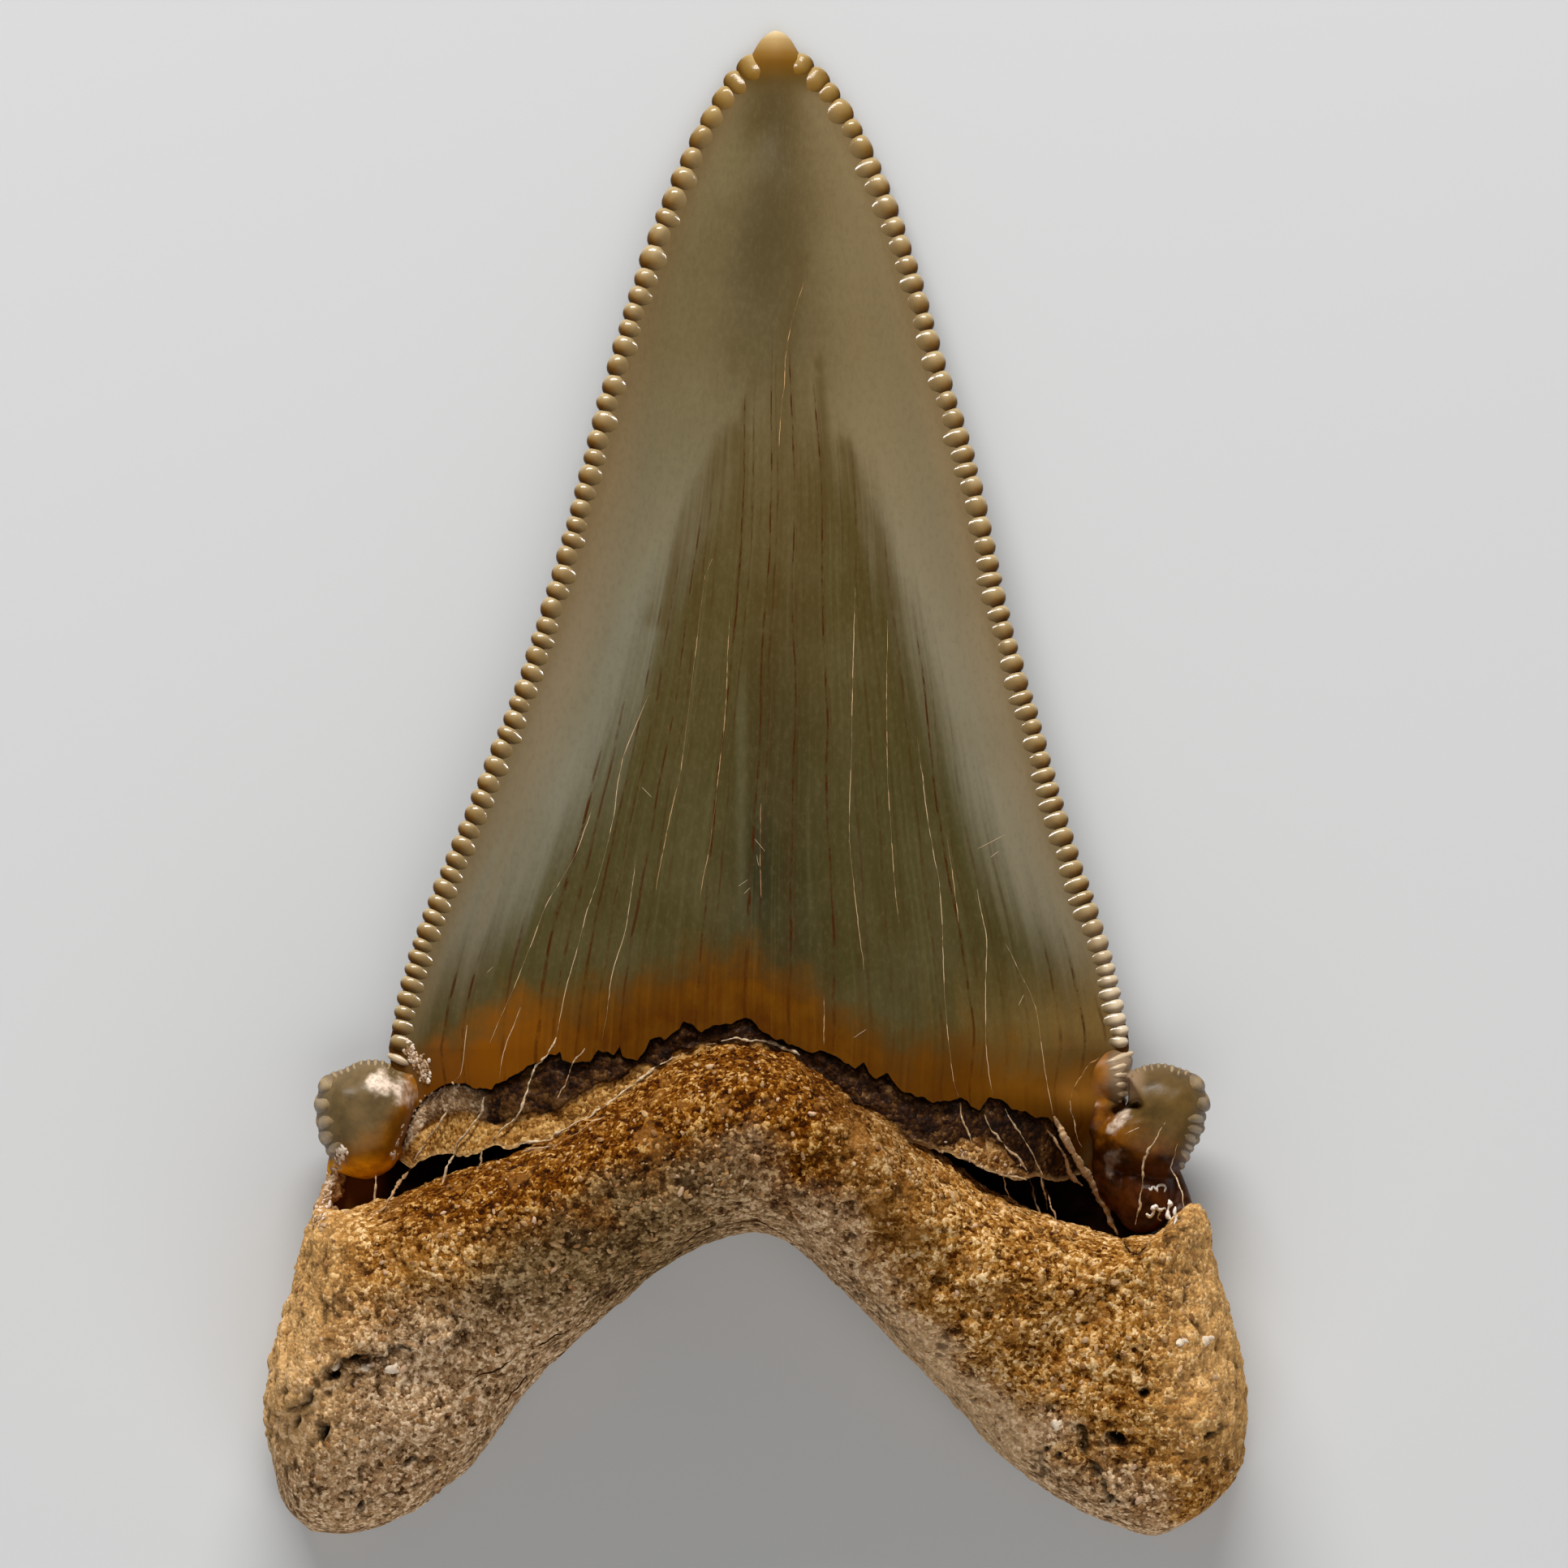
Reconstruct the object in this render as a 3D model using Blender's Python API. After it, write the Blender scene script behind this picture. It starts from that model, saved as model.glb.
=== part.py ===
"""A fossil shark tooth, lying on its flat outer face with the swollen inner face up.

The tooth is one piece: a tall serrated blade, small side cusps and a two-lobed root.
+Y runs from the root to the tip, +X to the right as one looks down on the tooth, +Z up.
All tables and sizes below are in millimetres and become metres when a mesh is made.
"""

import math

import bmesh
import bpy
from mathutils import Vector, noise
from mathutils.bvhtree import BVHTree

MM = 0.001
FLOOR_Z = 0.0
SHARP_ANGLE = math.radians(50)

# Cutting edges, through the tops of the serrations, from the tip down to the shoulders
LEFT_EDGE = [
    (0.9, 35.2), (-0.4, 34.4), (-1.7, 32.8), (-3.1, 30.2), (-5.1, 25.6), (-7.2, 18.8),
    (-9.0, 11.9), (-11.1, 5.1), (-13.8, -1.7), (-15.7, -6.3), (-16.8, -9.9), (-17.2, -12.4),
]
RIGHT_EDGE = [
    (0.9, 35.2), (2.3, 34.4), (3.7, 32.7), (5.2, 30.2), (7.1, 25.6), (8.9, 19.5),
    (10.5, 14.2), (11.8, 8.1), (13.3, 2.8), (14.8, -2.5), (16.5, -7.6), (17.3, -11.1), (17.4, -12.4),
]
# Ends of the rows of the blade's foot, below the serrations, where it sinks into the root
FOOT_LEFT = [(-16.5, -13.9), (-16.5, -15.8), (-16.8, -17.8)]
FOOT_RIGHT = [(17.1, -14.2), (17.2, -15.9), (15.7, -18.6)]
FOOT_ARCH = [0.7, 1.4, 2.1]

# Serrations
SERRATION_COUNT = 60
TIP_CAP = 1.2
PITCH_AT_TIP = 1.03
PITCH_AT_BASE = 0.64
NOTCH_DEPTH = 0.24
BEAD_MIDDLE = 0.45
BEAD_WIDTH = 1.15
BEAD_HALF_HEIGHT = 0.55
NOTCH_HALF_HEIGHT = 0.25
FOOT_HALF_HEIGHT = 0.2

# Blade. Each swell grows from its value at the tip towards its full value, quickly at first:
# (value at the tip, full growth, distance from the tip at which two thirds of it is reached)
INNER_SWELL = (0.27, 6.6, 20.0)
OUTER_SWELL = (0.25, 3.3, 40.0)
FULLNESS_AT_TIP = 2.0
FULLNESS_GAIN = 1.6
FULLNESS_REACH = 53.0
BOW_HEIGHT = 0.7
BOW_START = 5.0
BOW_LENGTH = 46.0
TOP_COLUMNS = (0.2, 0.35, 0.5, 0.65, 0.8)
UNDER_COLUMNS = (0.28, 0.5, 0.72)

# Enamel rim above the root. Below this ragged line the blade is stepped down to bare dentine
ENAMEL_RIM = [
    (-16.9, -17.9), (-16.2, -15.8), (-15.6, -14.7), (-14.5, -14.1), (-13.2, -14.0), (-11.8, -14.3),
    (-10.6, -13.4), (-9.3, -12.5), (-8.2, -13.2), (-6.7, -12.6), (-5.3, -13.0), (-4.4, -11.9),
    (-3.1, -11.6), (-1.8, -11.2), (-0.5, -10.8), (0.9, -11.6), (2.4, -12.5), (3.9, -12.5), (5.4, -13.7),
    (7.0, -13.6), (8.8, -14.9), (10.4, -15.3), (11.0, -14.7), (12.4, -15.1), (14.1, -15.4), (15.2, -18.4),
    (16.9, -21.5),
]
RIM_CUTTER_TAIL = [(16.9, -24.0), (-16.9, -24.0)]
RIM_CUTTER_Z = (2.9, 14.0)
RIM_STEP = 0.45
DENTINE_LEFT = [(-15.4, -8.0), (-16.0, -10.5), (-16.2, -12.8), (-16.0, -13.9), (-16.0, -15.8), (-16.3, -18.0)]
DENTINE_RIGHT = [(15.6, -8.0), (16.2, -10.5), (16.4, -12.8), (16.3, -14.3), (15.8, -16.6), (15.2, -18.8)]
DENTINE_ARCH = [0.0, 0.0, 0.3, 0.7, 1.4, 2.1]

# Root, as pairs of points across its arm, from the left lobe's end to the right lobe's end
ROOT_CROWN_SIDE = [
    (-20.8, -35.0), (-22.1, -33.7), (-22.7, -31.6), (-22.9, -29.3), (-22.6, -26.6), (-21.7, -23.6),
    (-20.7, -20.3), (-18.7, -19.9), (-15.0, -18.6), (-11.2, -17.2), (-7.1, -14.8), (-3.1, -12.5),
    (-0.3, -12.0), (2.2, -12.8), (5.4, -15.0), (9.1, -17.8), (12.6, -19.9), (16.6, -21.0), (20.3, -19.8),
    (21.4, -22.3), (22.3, -25.7), (22.9, -28.7), (22.6, -31.8), (21.4, -33.6), (19.9, -34.7),
]
ROOT_NOTCH_SIDE = [
    (-20.8, -35.0), (-18.7, -35.1), (-16.2, -34.3), (-14.0, -32.6), (-12.4, -30.9), (-11.2, -29.1),
    (-9.9, -27.6), (-8.5, -26.3), (-6.9, -24.9), (-5.2, -23.4), (-3.3, -22.1), (-1.6, -21.4),
    (0.0, -21.1), (1.5, -21.6), (3.1, -23.0), (4.9, -24.7), (6.7, -26.6), (8.3, -28.2), (9.8, -29.9),
    (11.2, -31.4), (13.0, -32.8), (14.9, -34.0), (16.8, -34.8), (18.5, -35.2), (19.9, -34.7),
]
ROOT_TOP = [
    3.0, 6.2, 7.9, 8.9, 9.6, 10.0, 10.3, 10.8, 11.5, 12.3, 13.0, 13.5,
    13.7, 13.5, 13.0, 12.3, 11.5, 10.8, 10.3, 10.0, 9.7, 9.1, 8.1, 6.4, 3.0,
]
ROOT_WAIST_Z = 3.2
ROOT_SINK = 0.35
ROOT_CREST_SHIFT = 0.2
ROOT_SQUARENESS = 0.72
ROOT_LUMPS = ((4.5, 0.6), (1.9, 0.25))
ROOT_SECTIONS = 60
ROOT_SIDES = 22

# Pits and gouges in the root, as (x, y, radius, stretch along y)
PITS = [
    (-18.6, -26.8, 0.75, 0.6), (-19.8, -27.6, 0.6, 0.7), (-20.3, -30.4, 0.55, 1.4), (-21.5, -29.8, 0.4, 1.5),
    (16.8, -30.7, 0.6, 0.7), (15.3, -31.3, 0.5, 2.2), (16.1, -32.8, 0.55, 2.0),
]
PIT_DEPTH_STRETCH = 1.3

# Bridge under the two hollows, as (x, upper y, lower y, top z)
BRIDGE = [
    (-20.2, -18.9, -20.4, 3.2), (-19.3, -17.4, -20.7, 4.2), (-18.6, -17.0, -20.9, 2.7),
    (-15.0, -15.8, -21.0, 2.4), (-10.0, -14.5, -20.0, 2.4), (0.0, -13.8, -18.0, 2.4),
    (10.0, -15.2, -21.0, 2.4), (15.4, -16.4, -22.4, 2.4), (16.5, -16.0, -22.4, 4.3),
    (18.2, -15.8, -22.0, 4.6), (19.3, -17.6, -21.4, 3.9), (19.9, -18.8, -20.6, 3.0),
]
BRIDGE_BOTTOM_Z = 0.8
BRIDGE_SIDES = 12
BRIDGE_SQUARENESS = 0.6

# Side cusps: the free, ridged outline, then the outline of the base inside the tooth.
# The levels are the heights of the underside, of the rim and of the top
LEFT_CUSP = {
    "name": "left cusp",
    "free": [
        (-16.8, -13.5), (-17.6, -13.0), (-18.5, -13.1), (-19.5, -13.5), (-20.2, -13.9),
        (-20.5, -14.7), (-20.5, -15.7), (-20.4, -16.6), (-20.1, -17.4),
    ],
    "base": [
        (-20.1, -17.4), (-19.6, -18.2), (-18.7, -18.5), (-17.9, -18.5), (-17.0, -18.0),
        (-16.2, -17.1), (-15.5, -16.0), (-15.5, -14.7), (-16.1, -13.9), (-16.8, -13.5),
    ],
    "middle": (-18.0, -15.8),
    "levels": (1.6, 2.8, 4.9),
    "ridges": 12,
}
RIGHT_CUSP = {
    "name": "right cusp",
    "free": [
        (17.3, -13.6), (18.1, -13.3), (19.1, -13.2), (20.1, -13.5), (20.8, -13.9),
        (21.0, -14.9), (20.9, -16.0), (20.4, -17.1), (19.7, -18.2),
    ],
    "base": [
        (19.7, -18.2), (18.9, -18.8), (17.8, -18.6), (16.6, -18.0), (15.9, -17.0), (16.2, -15.9),
        (16.8, -15.6), (17.3, -15.0), (17.4, -14.2), (17.3, -13.6),
    ],
    "middle": (18.7, -15.9),
    "levels": (1.6, 2.9, 5.0),
    "ridges": 12,
}
MINOR_CUSP = {
    "name": "minor cusp",
    "free": [(17.4, -12.6), (17.6, -13.0), (17.45, -13.6), (17.35, -14.3), (17.2, -14.9)],
    "base": [
        (17.2, -14.9), (16.7, -15.05), (15.9, -15.0), (15.3, -14.6), (15.0, -13.9), (15.6, -12.9),
        (16.6, -12.3), (17.4, -12.6),
    ],
    "middle": (16.5, -13.8),
    "levels": (2.0, 3.0, 4.8),
    "ridges": 4,
}
RIDGE_DEPTH = 0.2
CUSP_BASE_POINTS = 9


def swell(table, from_tip):
    """Greatest height of a face of the blade over its cutting edges."""
    start, growth, reach = table
    return start + growth * (1 - math.exp(-from_tip / reach))


def spline(points, t):
    """The point at parameter t, one unit a span, of a Catmull-Rom curve through points."""
    last = len(points) - 1
    i = min(int(t), last - 1)
    f = t - i
    p1, p2 = Vector(points[i]), Vector(points[i + 1])
    p0 = Vector(points[i - 1]) if i else p1 * 2 - p2
    p3 = Vector(points[i + 2]) if i + 2 <= last else p2 * 2 - p1
    return 0.5 * (
        p1 * 2 + (p2 - p0) * f + (p0 * 2 - p1 * 5 + p2 * 4 - p3) * f**2 + (p1 * 3 - p0 - p2 * 3 + p3) * f**3
    )


class Curve:
    """A smooth plan curve that is read by the distance along it."""

    STEPS = 40

    def __init__(self, points):
        spans = (len(points) - 1) * self.STEPS
        self.points = [spline(points, i / self.STEPS) for i in range(spans + 1)]
        self.along = [0.0]
        for a, b in zip(self.points, self.points[1:]):
            self.along.append(self.along[-1] + (b - a).length)

    def at(self, share):
        """The point at this share of the curve's length."""
        goal = share * self.along[-1]
        for i in range(len(self.points) - 1):
            if goal <= self.along[i + 1]:
                span = self.along[i + 1] - self.along[i]
                return self.points[i].lerp(self.points[i + 1], (goal - self.along[i]) / span)
        return self.points[-1].copy()


def new_object(name, bm):
    mesh = bpy.data.meshes.new(name)
    bmesh.ops.scale(bm, vec=(MM, MM, MM), verts=bm.verts)
    bmesh.ops.recalc_face_normals(bm, faces=bm.faces)
    bmesh.ops.triangulate(bm, faces=bm.faces)
    bm.to_mesh(mesh)
    bm.free()
    mesh.shade_smooth()
    mesh.set_sharp_from_angle(angle=SHARP_ANGLE)
    return bpy.data.objects.new(name, mesh)


def loft(name, rings, start, end):
    """A closed body through rings of points, closed by one point beyond each end ring."""
    bm = bmesh.new()
    levels = [[bm.verts.new(p) for p in ring] for ring in rings]
    for low, high in zip(levels, levels[1:]):
        for i in range(len(low)):
            j = (i + 1) % len(low)
            bm.faces.new((low[i], low[j], high[j], high[i]))
    for pole, ring in ((start, levels[0]), (end, levels[-1])):
        tip = bm.verts.new(pole)
        for i in range(len(ring)):
            bm.faces.new((ring[i], ring[(i + 1) % len(ring)], tip))
    return new_object(name, bm)


class Section:
    """One cross section of the blade, between a point on each cutting edge."""

    def __init__(self, left, right, arch=0.0):
        self.left, self.right = Vector(left), Vector(right)
        self.width = (self.right - self.left).length
        self.arch = arch
        from_tip = LEFT_EDGE[0][1] - (self.left.y + self.right.y) / 2
        self.inner = swell(INNER_SWELL, from_tip)
        self.outer = swell(OUTER_SWELL, from_tip)
        self.fullness = FULLNESS_AT_TIP + FULLNESS_GAIN * (from_tip / FULLNESS_REACH) ** 2
        bowed = min(1.0, max(0.0, (from_tip - BOW_START) / BOW_LENGTH))
        self.edge_z = self.outer + BOW_HEIGHT * math.sin(math.pi * bowed)

    def rise(self, distance, greatest):
        """Height of a face over the cutting edge, this far in from one of the edges."""
        return greatest * (1 - abs(1 - 2 * distance / self.width) ** self.fullness)

    def point(self, distance, z):
        share = distance / self.width
        place = self.left.lerp(self.right, share)
        lift = self.arch * math.sin(math.pi * share)
        return (place.x, place.y + lift, max(FLOOR_Z, z))

    def ring(self, half_height, inset, skin=0.0):
        """Points around the section. skin draws both faces in by that much."""
        width = self.width
        middle = min(BEAD_MIDDLE, 0.15 * width)
        bead = min(BEAD_WIDTH, 0.3 * width)
        half_height = min(half_height, 0.35 * width)
        outer_places = [middle, bead, width - bead, width - middle]
        top_places = sorted(outer_places + [share * width for share in TOP_COLUMNS])
        under_places = sorted(outer_places + [share * width for share in UNDER_COLUMNS], reverse=True)
        points = [self.point(inset, self.edge_z)]
        for place in top_places:
            rise = self.rise(place, self.inner) - skin
            if not middle < place < width - middle:
                rise = max(half_height, rise)
            points.append(self.point(place, self.edge_z + rise))
        points.append(self.point(width - inset, self.edge_z))
        for place in under_places:
            drop = self.rise(place, self.outer) - skin
            if not middle < place < width - middle:
                drop = max(half_height * 0.8, drop)
            points.append(self.point(place, self.edge_z - drop))
        return points


def notch_shares(length):
    """Shares of an edge's length at which the notches between the serrations lie."""
    last = SERRATION_COUNT - 1
    pitches = [PITCH_AT_TIP + (PITCH_AT_BASE - PITCH_AT_TIP) * k / last for k in range(SERRATION_COUNT)]
    stretch = (length - TIP_CAP) / sum(pitches)
    places = [TIP_CAP]
    for pitch in pitches:
        places.append(places[-1] + pitch * stretch)
    return [place / length for place in places]


def foot_middle(left, right, arch, z):
    """The point that closes the foot of a body lofted down the blade."""
    return ((left[0] + right[0]) / 2, (left[1] + right[1]) / 2 + arch, z)


def make_blade():
    """The serrated blade, down to a foot that reaches into the root."""
    left, right = Curve(LEFT_EDGE), Curve(RIGHT_EDGE)
    notches = notch_shares((left.along[-1] + right.along[-1]) / 2)
    rings = []
    for share in (notches[0] * 0.35, notches[0] * 0.7):
        rings.append(Section(left.at(share), right.at(share)).ring(BEAD_HALF_HEIGHT, 0.0))
    for upper, lower in zip(notches, notches[1:]):
        middle = (upper + lower) / 2
        notch = Section(left.at(upper), right.at(upper))
        bead = Section(left.at(middle), right.at(middle))
        rings.append(notch.ring(NOTCH_HALF_HEIGHT, min(NOTCH_DEPTH, 0.12 * notch.width)))
        rings.append(bead.ring(BEAD_HALF_HEIGHT, 0.0))
    rings.append(Section(left.at(1.0), right.at(1.0)).ring(NOTCH_HALF_HEIGHT, NOTCH_DEPTH))
    for a, b, arch in zip(FOOT_LEFT, FOOT_RIGHT, FOOT_ARCH):
        rings.append(Section(a, b, arch).ring(FOOT_HALF_HEIGHT, 0.0))
    tip = (*LEFT_EDGE[0], OUTER_SWELL[0])
    return loft("blade", rings, tip, foot_middle(FOOT_LEFT[-1], FOOT_RIGHT[-1], FOOT_ARCH[-1], 4.0))


def make_dentine():
    """The bare dentine of the blade's foot, a step lower than the enamel around it."""
    rings = []
    for a, b, arch in zip(DENTINE_LEFT, DENTINE_RIGHT, DENTINE_ARCH):
        rings.append(Section(a, b, arch).ring(FOOT_HALF_HEIGHT, 0.0, RIM_STEP))
    head = foot_middle(DENTINE_LEFT[0], DENTINE_RIGHT[0], 0.0, 4.0)
    foot = foot_middle(DENTINE_LEFT[-1], DENTINE_RIGHT[-1], DENTINE_ARCH[-1], 3.9)
    return loft("dentine", rings, head, foot)


def make_rim_cutter():
    """An upright block with a ragged upper side, that takes the enamel off above the root."""
    bm = bmesh.new()
    low, high = RIM_CUTTER_Z
    face = bm.faces.new([bm.verts.new((x, y, low)) for x, y in ENAMEL_RIM + RIM_CUTTER_TAIL])
    raised = bmesh.ops.extrude_face_region(bm, geom=[face])["geom"]
    lifted = [item for item in raised if isinstance(item, bmesh.types.BMVert)]
    bmesh.ops.translate(bm, vec=(0, 0, high - low), verts=lifted)
    return new_object("rim cutter", bm)


def root_ring(t):
    """One section across the root's arm, at station t."""
    crown_side, notch_side = spline(ROOT_CROWN_SIDE, t), spline(ROOT_NOTCH_SIDE, t)
    top = spline([(height, 0.0) for height in ROOT_TOP], t).x
    middle, reach = (crown_side + notch_side) / 2, (notch_side - crown_side) / 2
    ring = []
    for k in range(ROOT_SIDES):
        angle = 2 * math.pi * (k + 0.5) / ROOT_SIDES
        c, s = math.cos(angle), math.sin(angle)
        across = math.copysign(abs(c) ** ROOT_SQUARENESS, c)
        place = middle + reach * across
        if s > 0:
            lean = 1 - ROOT_CREST_SHIFT * across * (1 - abs(across))
            z = ROOT_WAIST_Z + (top - ROOT_WAIST_Z) * lean * s**ROOT_SQUARENESS
            for size, height in ROOT_LUMPS:
                z += s * height * noise.noise(Vector((place.x, place.y, z)) / size)
        else:
            z = ROOT_WAIST_Z - (ROOT_WAIST_Z + ROOT_SINK) * abs(s) ** ROOT_SQUARENESS
        ring.append((place.x, place.y, max(FLOOR_Z, z)))
    return ring


def make_root():
    """The two-lobed root."""
    last = len(ROOT_TOP) - 1
    stations = [0.3 + (last - 0.6) * i / (ROOT_SECTIONS - 1) for i in range(ROOT_SECTIONS)]
    poles = [(*ROOT_CROWN_SIDE[i], ROOT_WAIST_Z) for i in (0, -1)]
    return loft("root", [root_ring(t) for t in stations], *poles)


def make_pits(root):
    """Stretched balls that sit half sunk in the root's upper face, to be cut out of it."""
    corners = [v.co / MM for v in root.data.vertices]
    surface = BVHTree.FromPolygons(corners, [tuple(face.vertices) for face in root.data.polygons])
    bm = bmesh.new()
    for x, y, radius, stretch in PITS:
        top = surface.ray_cast(Vector((x, y, 30.0)), Vector((0, 0, -1)))[0]
        ball = bmesh.ops.create_icosphere(bm, subdivisions=1, radius=radius)["verts"]
        bmesh.ops.scale(bm, vec=(1.0, stretch, PIT_DEPTH_STRETCH), verts=ball)
        bmesh.ops.translate(bm, vec=top, verts=ball)
    return new_object("pits", bm)


def make_bridge():
    """The dentine under the hollows between the blade's foot and the root."""
    rings = []
    for x, upper, lower, top_z in BRIDGE:
        middle_z, half_z = (top_z + BRIDGE_BOTTOM_Z) / 2, (top_z - BRIDGE_BOTTOM_Z) / 2
        ring = []
        for k in range(BRIDGE_SIDES):
            angle = 2 * math.pi * (k + 0.5) / BRIDGE_SIDES
            c, s = math.cos(angle), math.sin(angle)
            y = (upper + lower) / 2 + (upper - lower) / 2 * math.copysign(abs(c) ** BRIDGE_SQUARENESS, c)
            ring.append((x, y, middle_z + half_z * math.copysign(abs(s) ** BRIDGE_SQUARENESS, s)))
        rings.append(ring)
    ends = [(x, -19.5, 2.0) for x in (BRIDGE[0][0] - 0.3, BRIDGE[-1][0] + 0.3)]
    return loft("bridge", rings, *ends)


def make_cusp(cusp):
    """A small fan-shaped cusp with ridges round its free side."""
    free, base = Curve(cusp["free"]), Curve(cusp["base"])
    steps = 2 * cusp["ridges"]
    outline = [(free.at(i / steps), i % 2) for i in range(steps + 1)]
    outline += [(base.at(i / CUSP_BASE_POINTS), 1) for i in range(1, CUSP_BASE_POINTS)]
    middle = Vector(cusp["middle"])
    low, rim, high = cusp["levels"]

    def ring(share, z, ridge_share):
        points = []
        for place, crest in outline:
            arm = place - middle
            arm *= share - ridge_share * (0 if crest else RIDGE_DEPTH / arm.length)
            points.append((middle.x + arm.x, middle.y + arm.y, z))
        return points

    rings = [
        ring(0.55, low + (rim - low) * 0.2, 0.0),
        ring(0.9, rim - 0.45, 1.0),
        ring(1.0, rim, 1.0),
        ring(0.88, rim + (high - rim) * 0.45, 0.7),
        ring(0.62, rim + (high - rim) * 0.78, 0.0),
        ring(0.3, rim + (high - rim) * 0.96, 0.0),
    ]
    return loft(cusp["name"], rings, (*middle, low), (*middle, high))


def material(name, colour, roughness):
    made = bpy.data.materials.new(name)
    made.use_nodes = True
    shader = made.node_tree.nodes["Principled BSDF"]
    shader.inputs["Base Color"].default_value = (*colour, 1.0)
    shader.inputs["Roughness"].default_value = roughness
    shader.inputs["Metallic"].default_value = 0.0
    return made


def main():
    for old in list(bpy.data.objects):
        bpy.data.objects.remove(old)
    shown = bpy.data.collections.new("shark tooth")
    tools = bpy.data.collections.new("shapes joined into the tooth")
    for collection in (shown, tools):
        bpy.context.scene.collection.children.link(collection)
    enamel = material("enamel", (0.30, 0.26, 0.17), 0.25)
    bone = material("root dentine", (0.42, 0.27, 0.12), 0.85)

    tooth = make_blade()
    tooth.name = "tooth"
    tooth.data.materials.append(enamel)
    shown.objects.link(tooth)

    root = make_root()
    steps = [
        ("DIFFERENCE", make_rim_cutter(), bone),
        ("UNION", make_dentine(), bone),
        ("UNION", make_bridge(), bone),
        ("UNION", make_cusp(LEFT_CUSP), enamel),
        ("UNION", make_cusp(RIGHT_CUSP), enamel),
        ("UNION", make_cusp(MINOR_CUSP), enamel),
        ("UNION", root, bone),
        ("DIFFERENCE", make_pits(root), bone),
    ]
    for operation, tool, surface in steps:
        tool.data.materials.append(surface)
        tool.hide_render = True
        tool.display_type = "WIRE"
        tools.objects.link(tool)
        modifier = tooth.modifiers.new(f"{operation.lower()} {tool.name}", "BOOLEAN")
        modifier.operation = operation
        modifier.object = tool
        modifier.solver = "EXACT"
        modifier.material_mode = "TRANSFER"


main()
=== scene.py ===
"""The looks of a fossil shark tooth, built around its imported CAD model.

The tooth lies on its flat outer face. +Y runs from the root to the tip, +X to the right as one
looks down on it, +Z up. Tables and sizes are in millimetres until a mesh is made.
"""

import itertools
import math

import bmesh
import bpy
import numpy as np
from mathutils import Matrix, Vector, noise as perlin
from mathutils.bvhtree import BVHTree


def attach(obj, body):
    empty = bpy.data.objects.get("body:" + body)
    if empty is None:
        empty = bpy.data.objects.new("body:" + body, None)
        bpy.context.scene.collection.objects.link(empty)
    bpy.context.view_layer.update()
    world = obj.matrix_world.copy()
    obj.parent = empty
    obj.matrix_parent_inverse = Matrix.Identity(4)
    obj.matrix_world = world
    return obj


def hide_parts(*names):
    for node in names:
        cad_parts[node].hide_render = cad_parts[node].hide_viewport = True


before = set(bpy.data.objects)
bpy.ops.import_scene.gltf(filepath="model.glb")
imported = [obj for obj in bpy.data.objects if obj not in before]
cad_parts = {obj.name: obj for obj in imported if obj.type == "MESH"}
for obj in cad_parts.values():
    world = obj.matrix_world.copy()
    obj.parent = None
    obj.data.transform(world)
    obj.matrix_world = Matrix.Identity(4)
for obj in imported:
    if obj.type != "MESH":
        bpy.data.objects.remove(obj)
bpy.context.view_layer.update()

MM = 0.001
SEED = 7
RAY_START = 0.05
CUSP_SKIN = (0.085, 7)
CRUST_SKIN = (0.06, 1)

# Plan curves of the CAD model, which the fine surfaces below follow
LEFT_EDGE = [
    (0.9, 35.2), (0.5, 35.03), (-0.15, 34.4), (-0.95, 33.6), (-1.7, 32.7), (-3.1, 30.2), (-5.1, 25.6),
    (-7.2, 18.8), (-9.0, 11.9), (-11.1, 5.1), (-13.8, -1.7), (-15.7, -6.3), (-16.8, -9.9),
    (-17.2, -12.4),
]
RIGHT_EDGE = [
    (0.9, 35.2), (1.32, 35.03), (1.92, 34.4), (2.5, 33.9), (3.15, 33.3), (3.75, 32.6), (5.2, 30.2),
    (7.1, 25.6), (8.9, 19.5), (10.5, 14.2), (11.8, 8.1), (13.3, 2.8), (14.8, -2.5), (16.5, -7.6),
    (17.3, -11.1), (17.4, -12.4),
]
FOOT_LEFT = [(-17.2, -12.4), (-17.0, -13.9), (-16.7, -15.8), (-16.8, -17.8)]
FOOT_RIGHT = [(17.4, -12.4), (17.1, -14.2), (17.2, -15.9), (15.7, -18.6)]
FOOT_ARCH = [0.0, 0.7, 1.4, 2.1]

# Serrations: their number on an edge, their spacing and their sizes
BEAD_COUNT = 60
TIP_CAP = 1.55
TIP_HALF_HEIGHT = 0.46
PITCH_AT_TIP = 1.03
PITCH_AT_BASE = 0.64
PITCH_SPREAD = 0.18
BEAD_LENGTH = 1.35
BEAD_LIFT = 0.12
BEAD_SINK = 0.12
BEAD_HALF_HEIGHT = 0.52
BEAD_POINT = 3.4
BEAD_ROUGHNESS = 0.012
FLOOR_GAP = 0.02

# Cutting edges and the spacing of the blade's mesh
EDGE_INSET = 0.24
EDGE_HALF_HEIGHT = 0.24
EDGE_NOSE = 0.3
EDGE_COLUMNS = (0.0, 0.02, 0.06, 0.12, 0.2, 0.32, 0.5, 0.75, 1.05, 1.4)
UNDER_EDGE_COLUMNS = (0.04, 0.1, 0.2, 0.4, 0.8, 1.2)
MIDDLE_COLUMNS = 56
UNDER_MIDDLE_COLUMNS = 28
BLADE_ROWS = 320
FOOT_ROWS = 45

# Swell of both blade faces as start, growth and reach, how full they are and how the blade is bowed
INNER_SWELL = (0.27, 6.6, 20.0)
OUTER_SWELL = (0.25, 3.3, 40.0)
FULLNESS_AT_TIP = 2.0
FULLNESS_GAIN = 1.6
FULLNESS_REACH = 53.0
BOW_HEIGHT = 0.7
BOW_START = 5.0
BOW_LENGTH = 46.0
EDGE_FLARE = 0.65
EDGE_FLARE_WIDTH = 2.0

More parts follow.
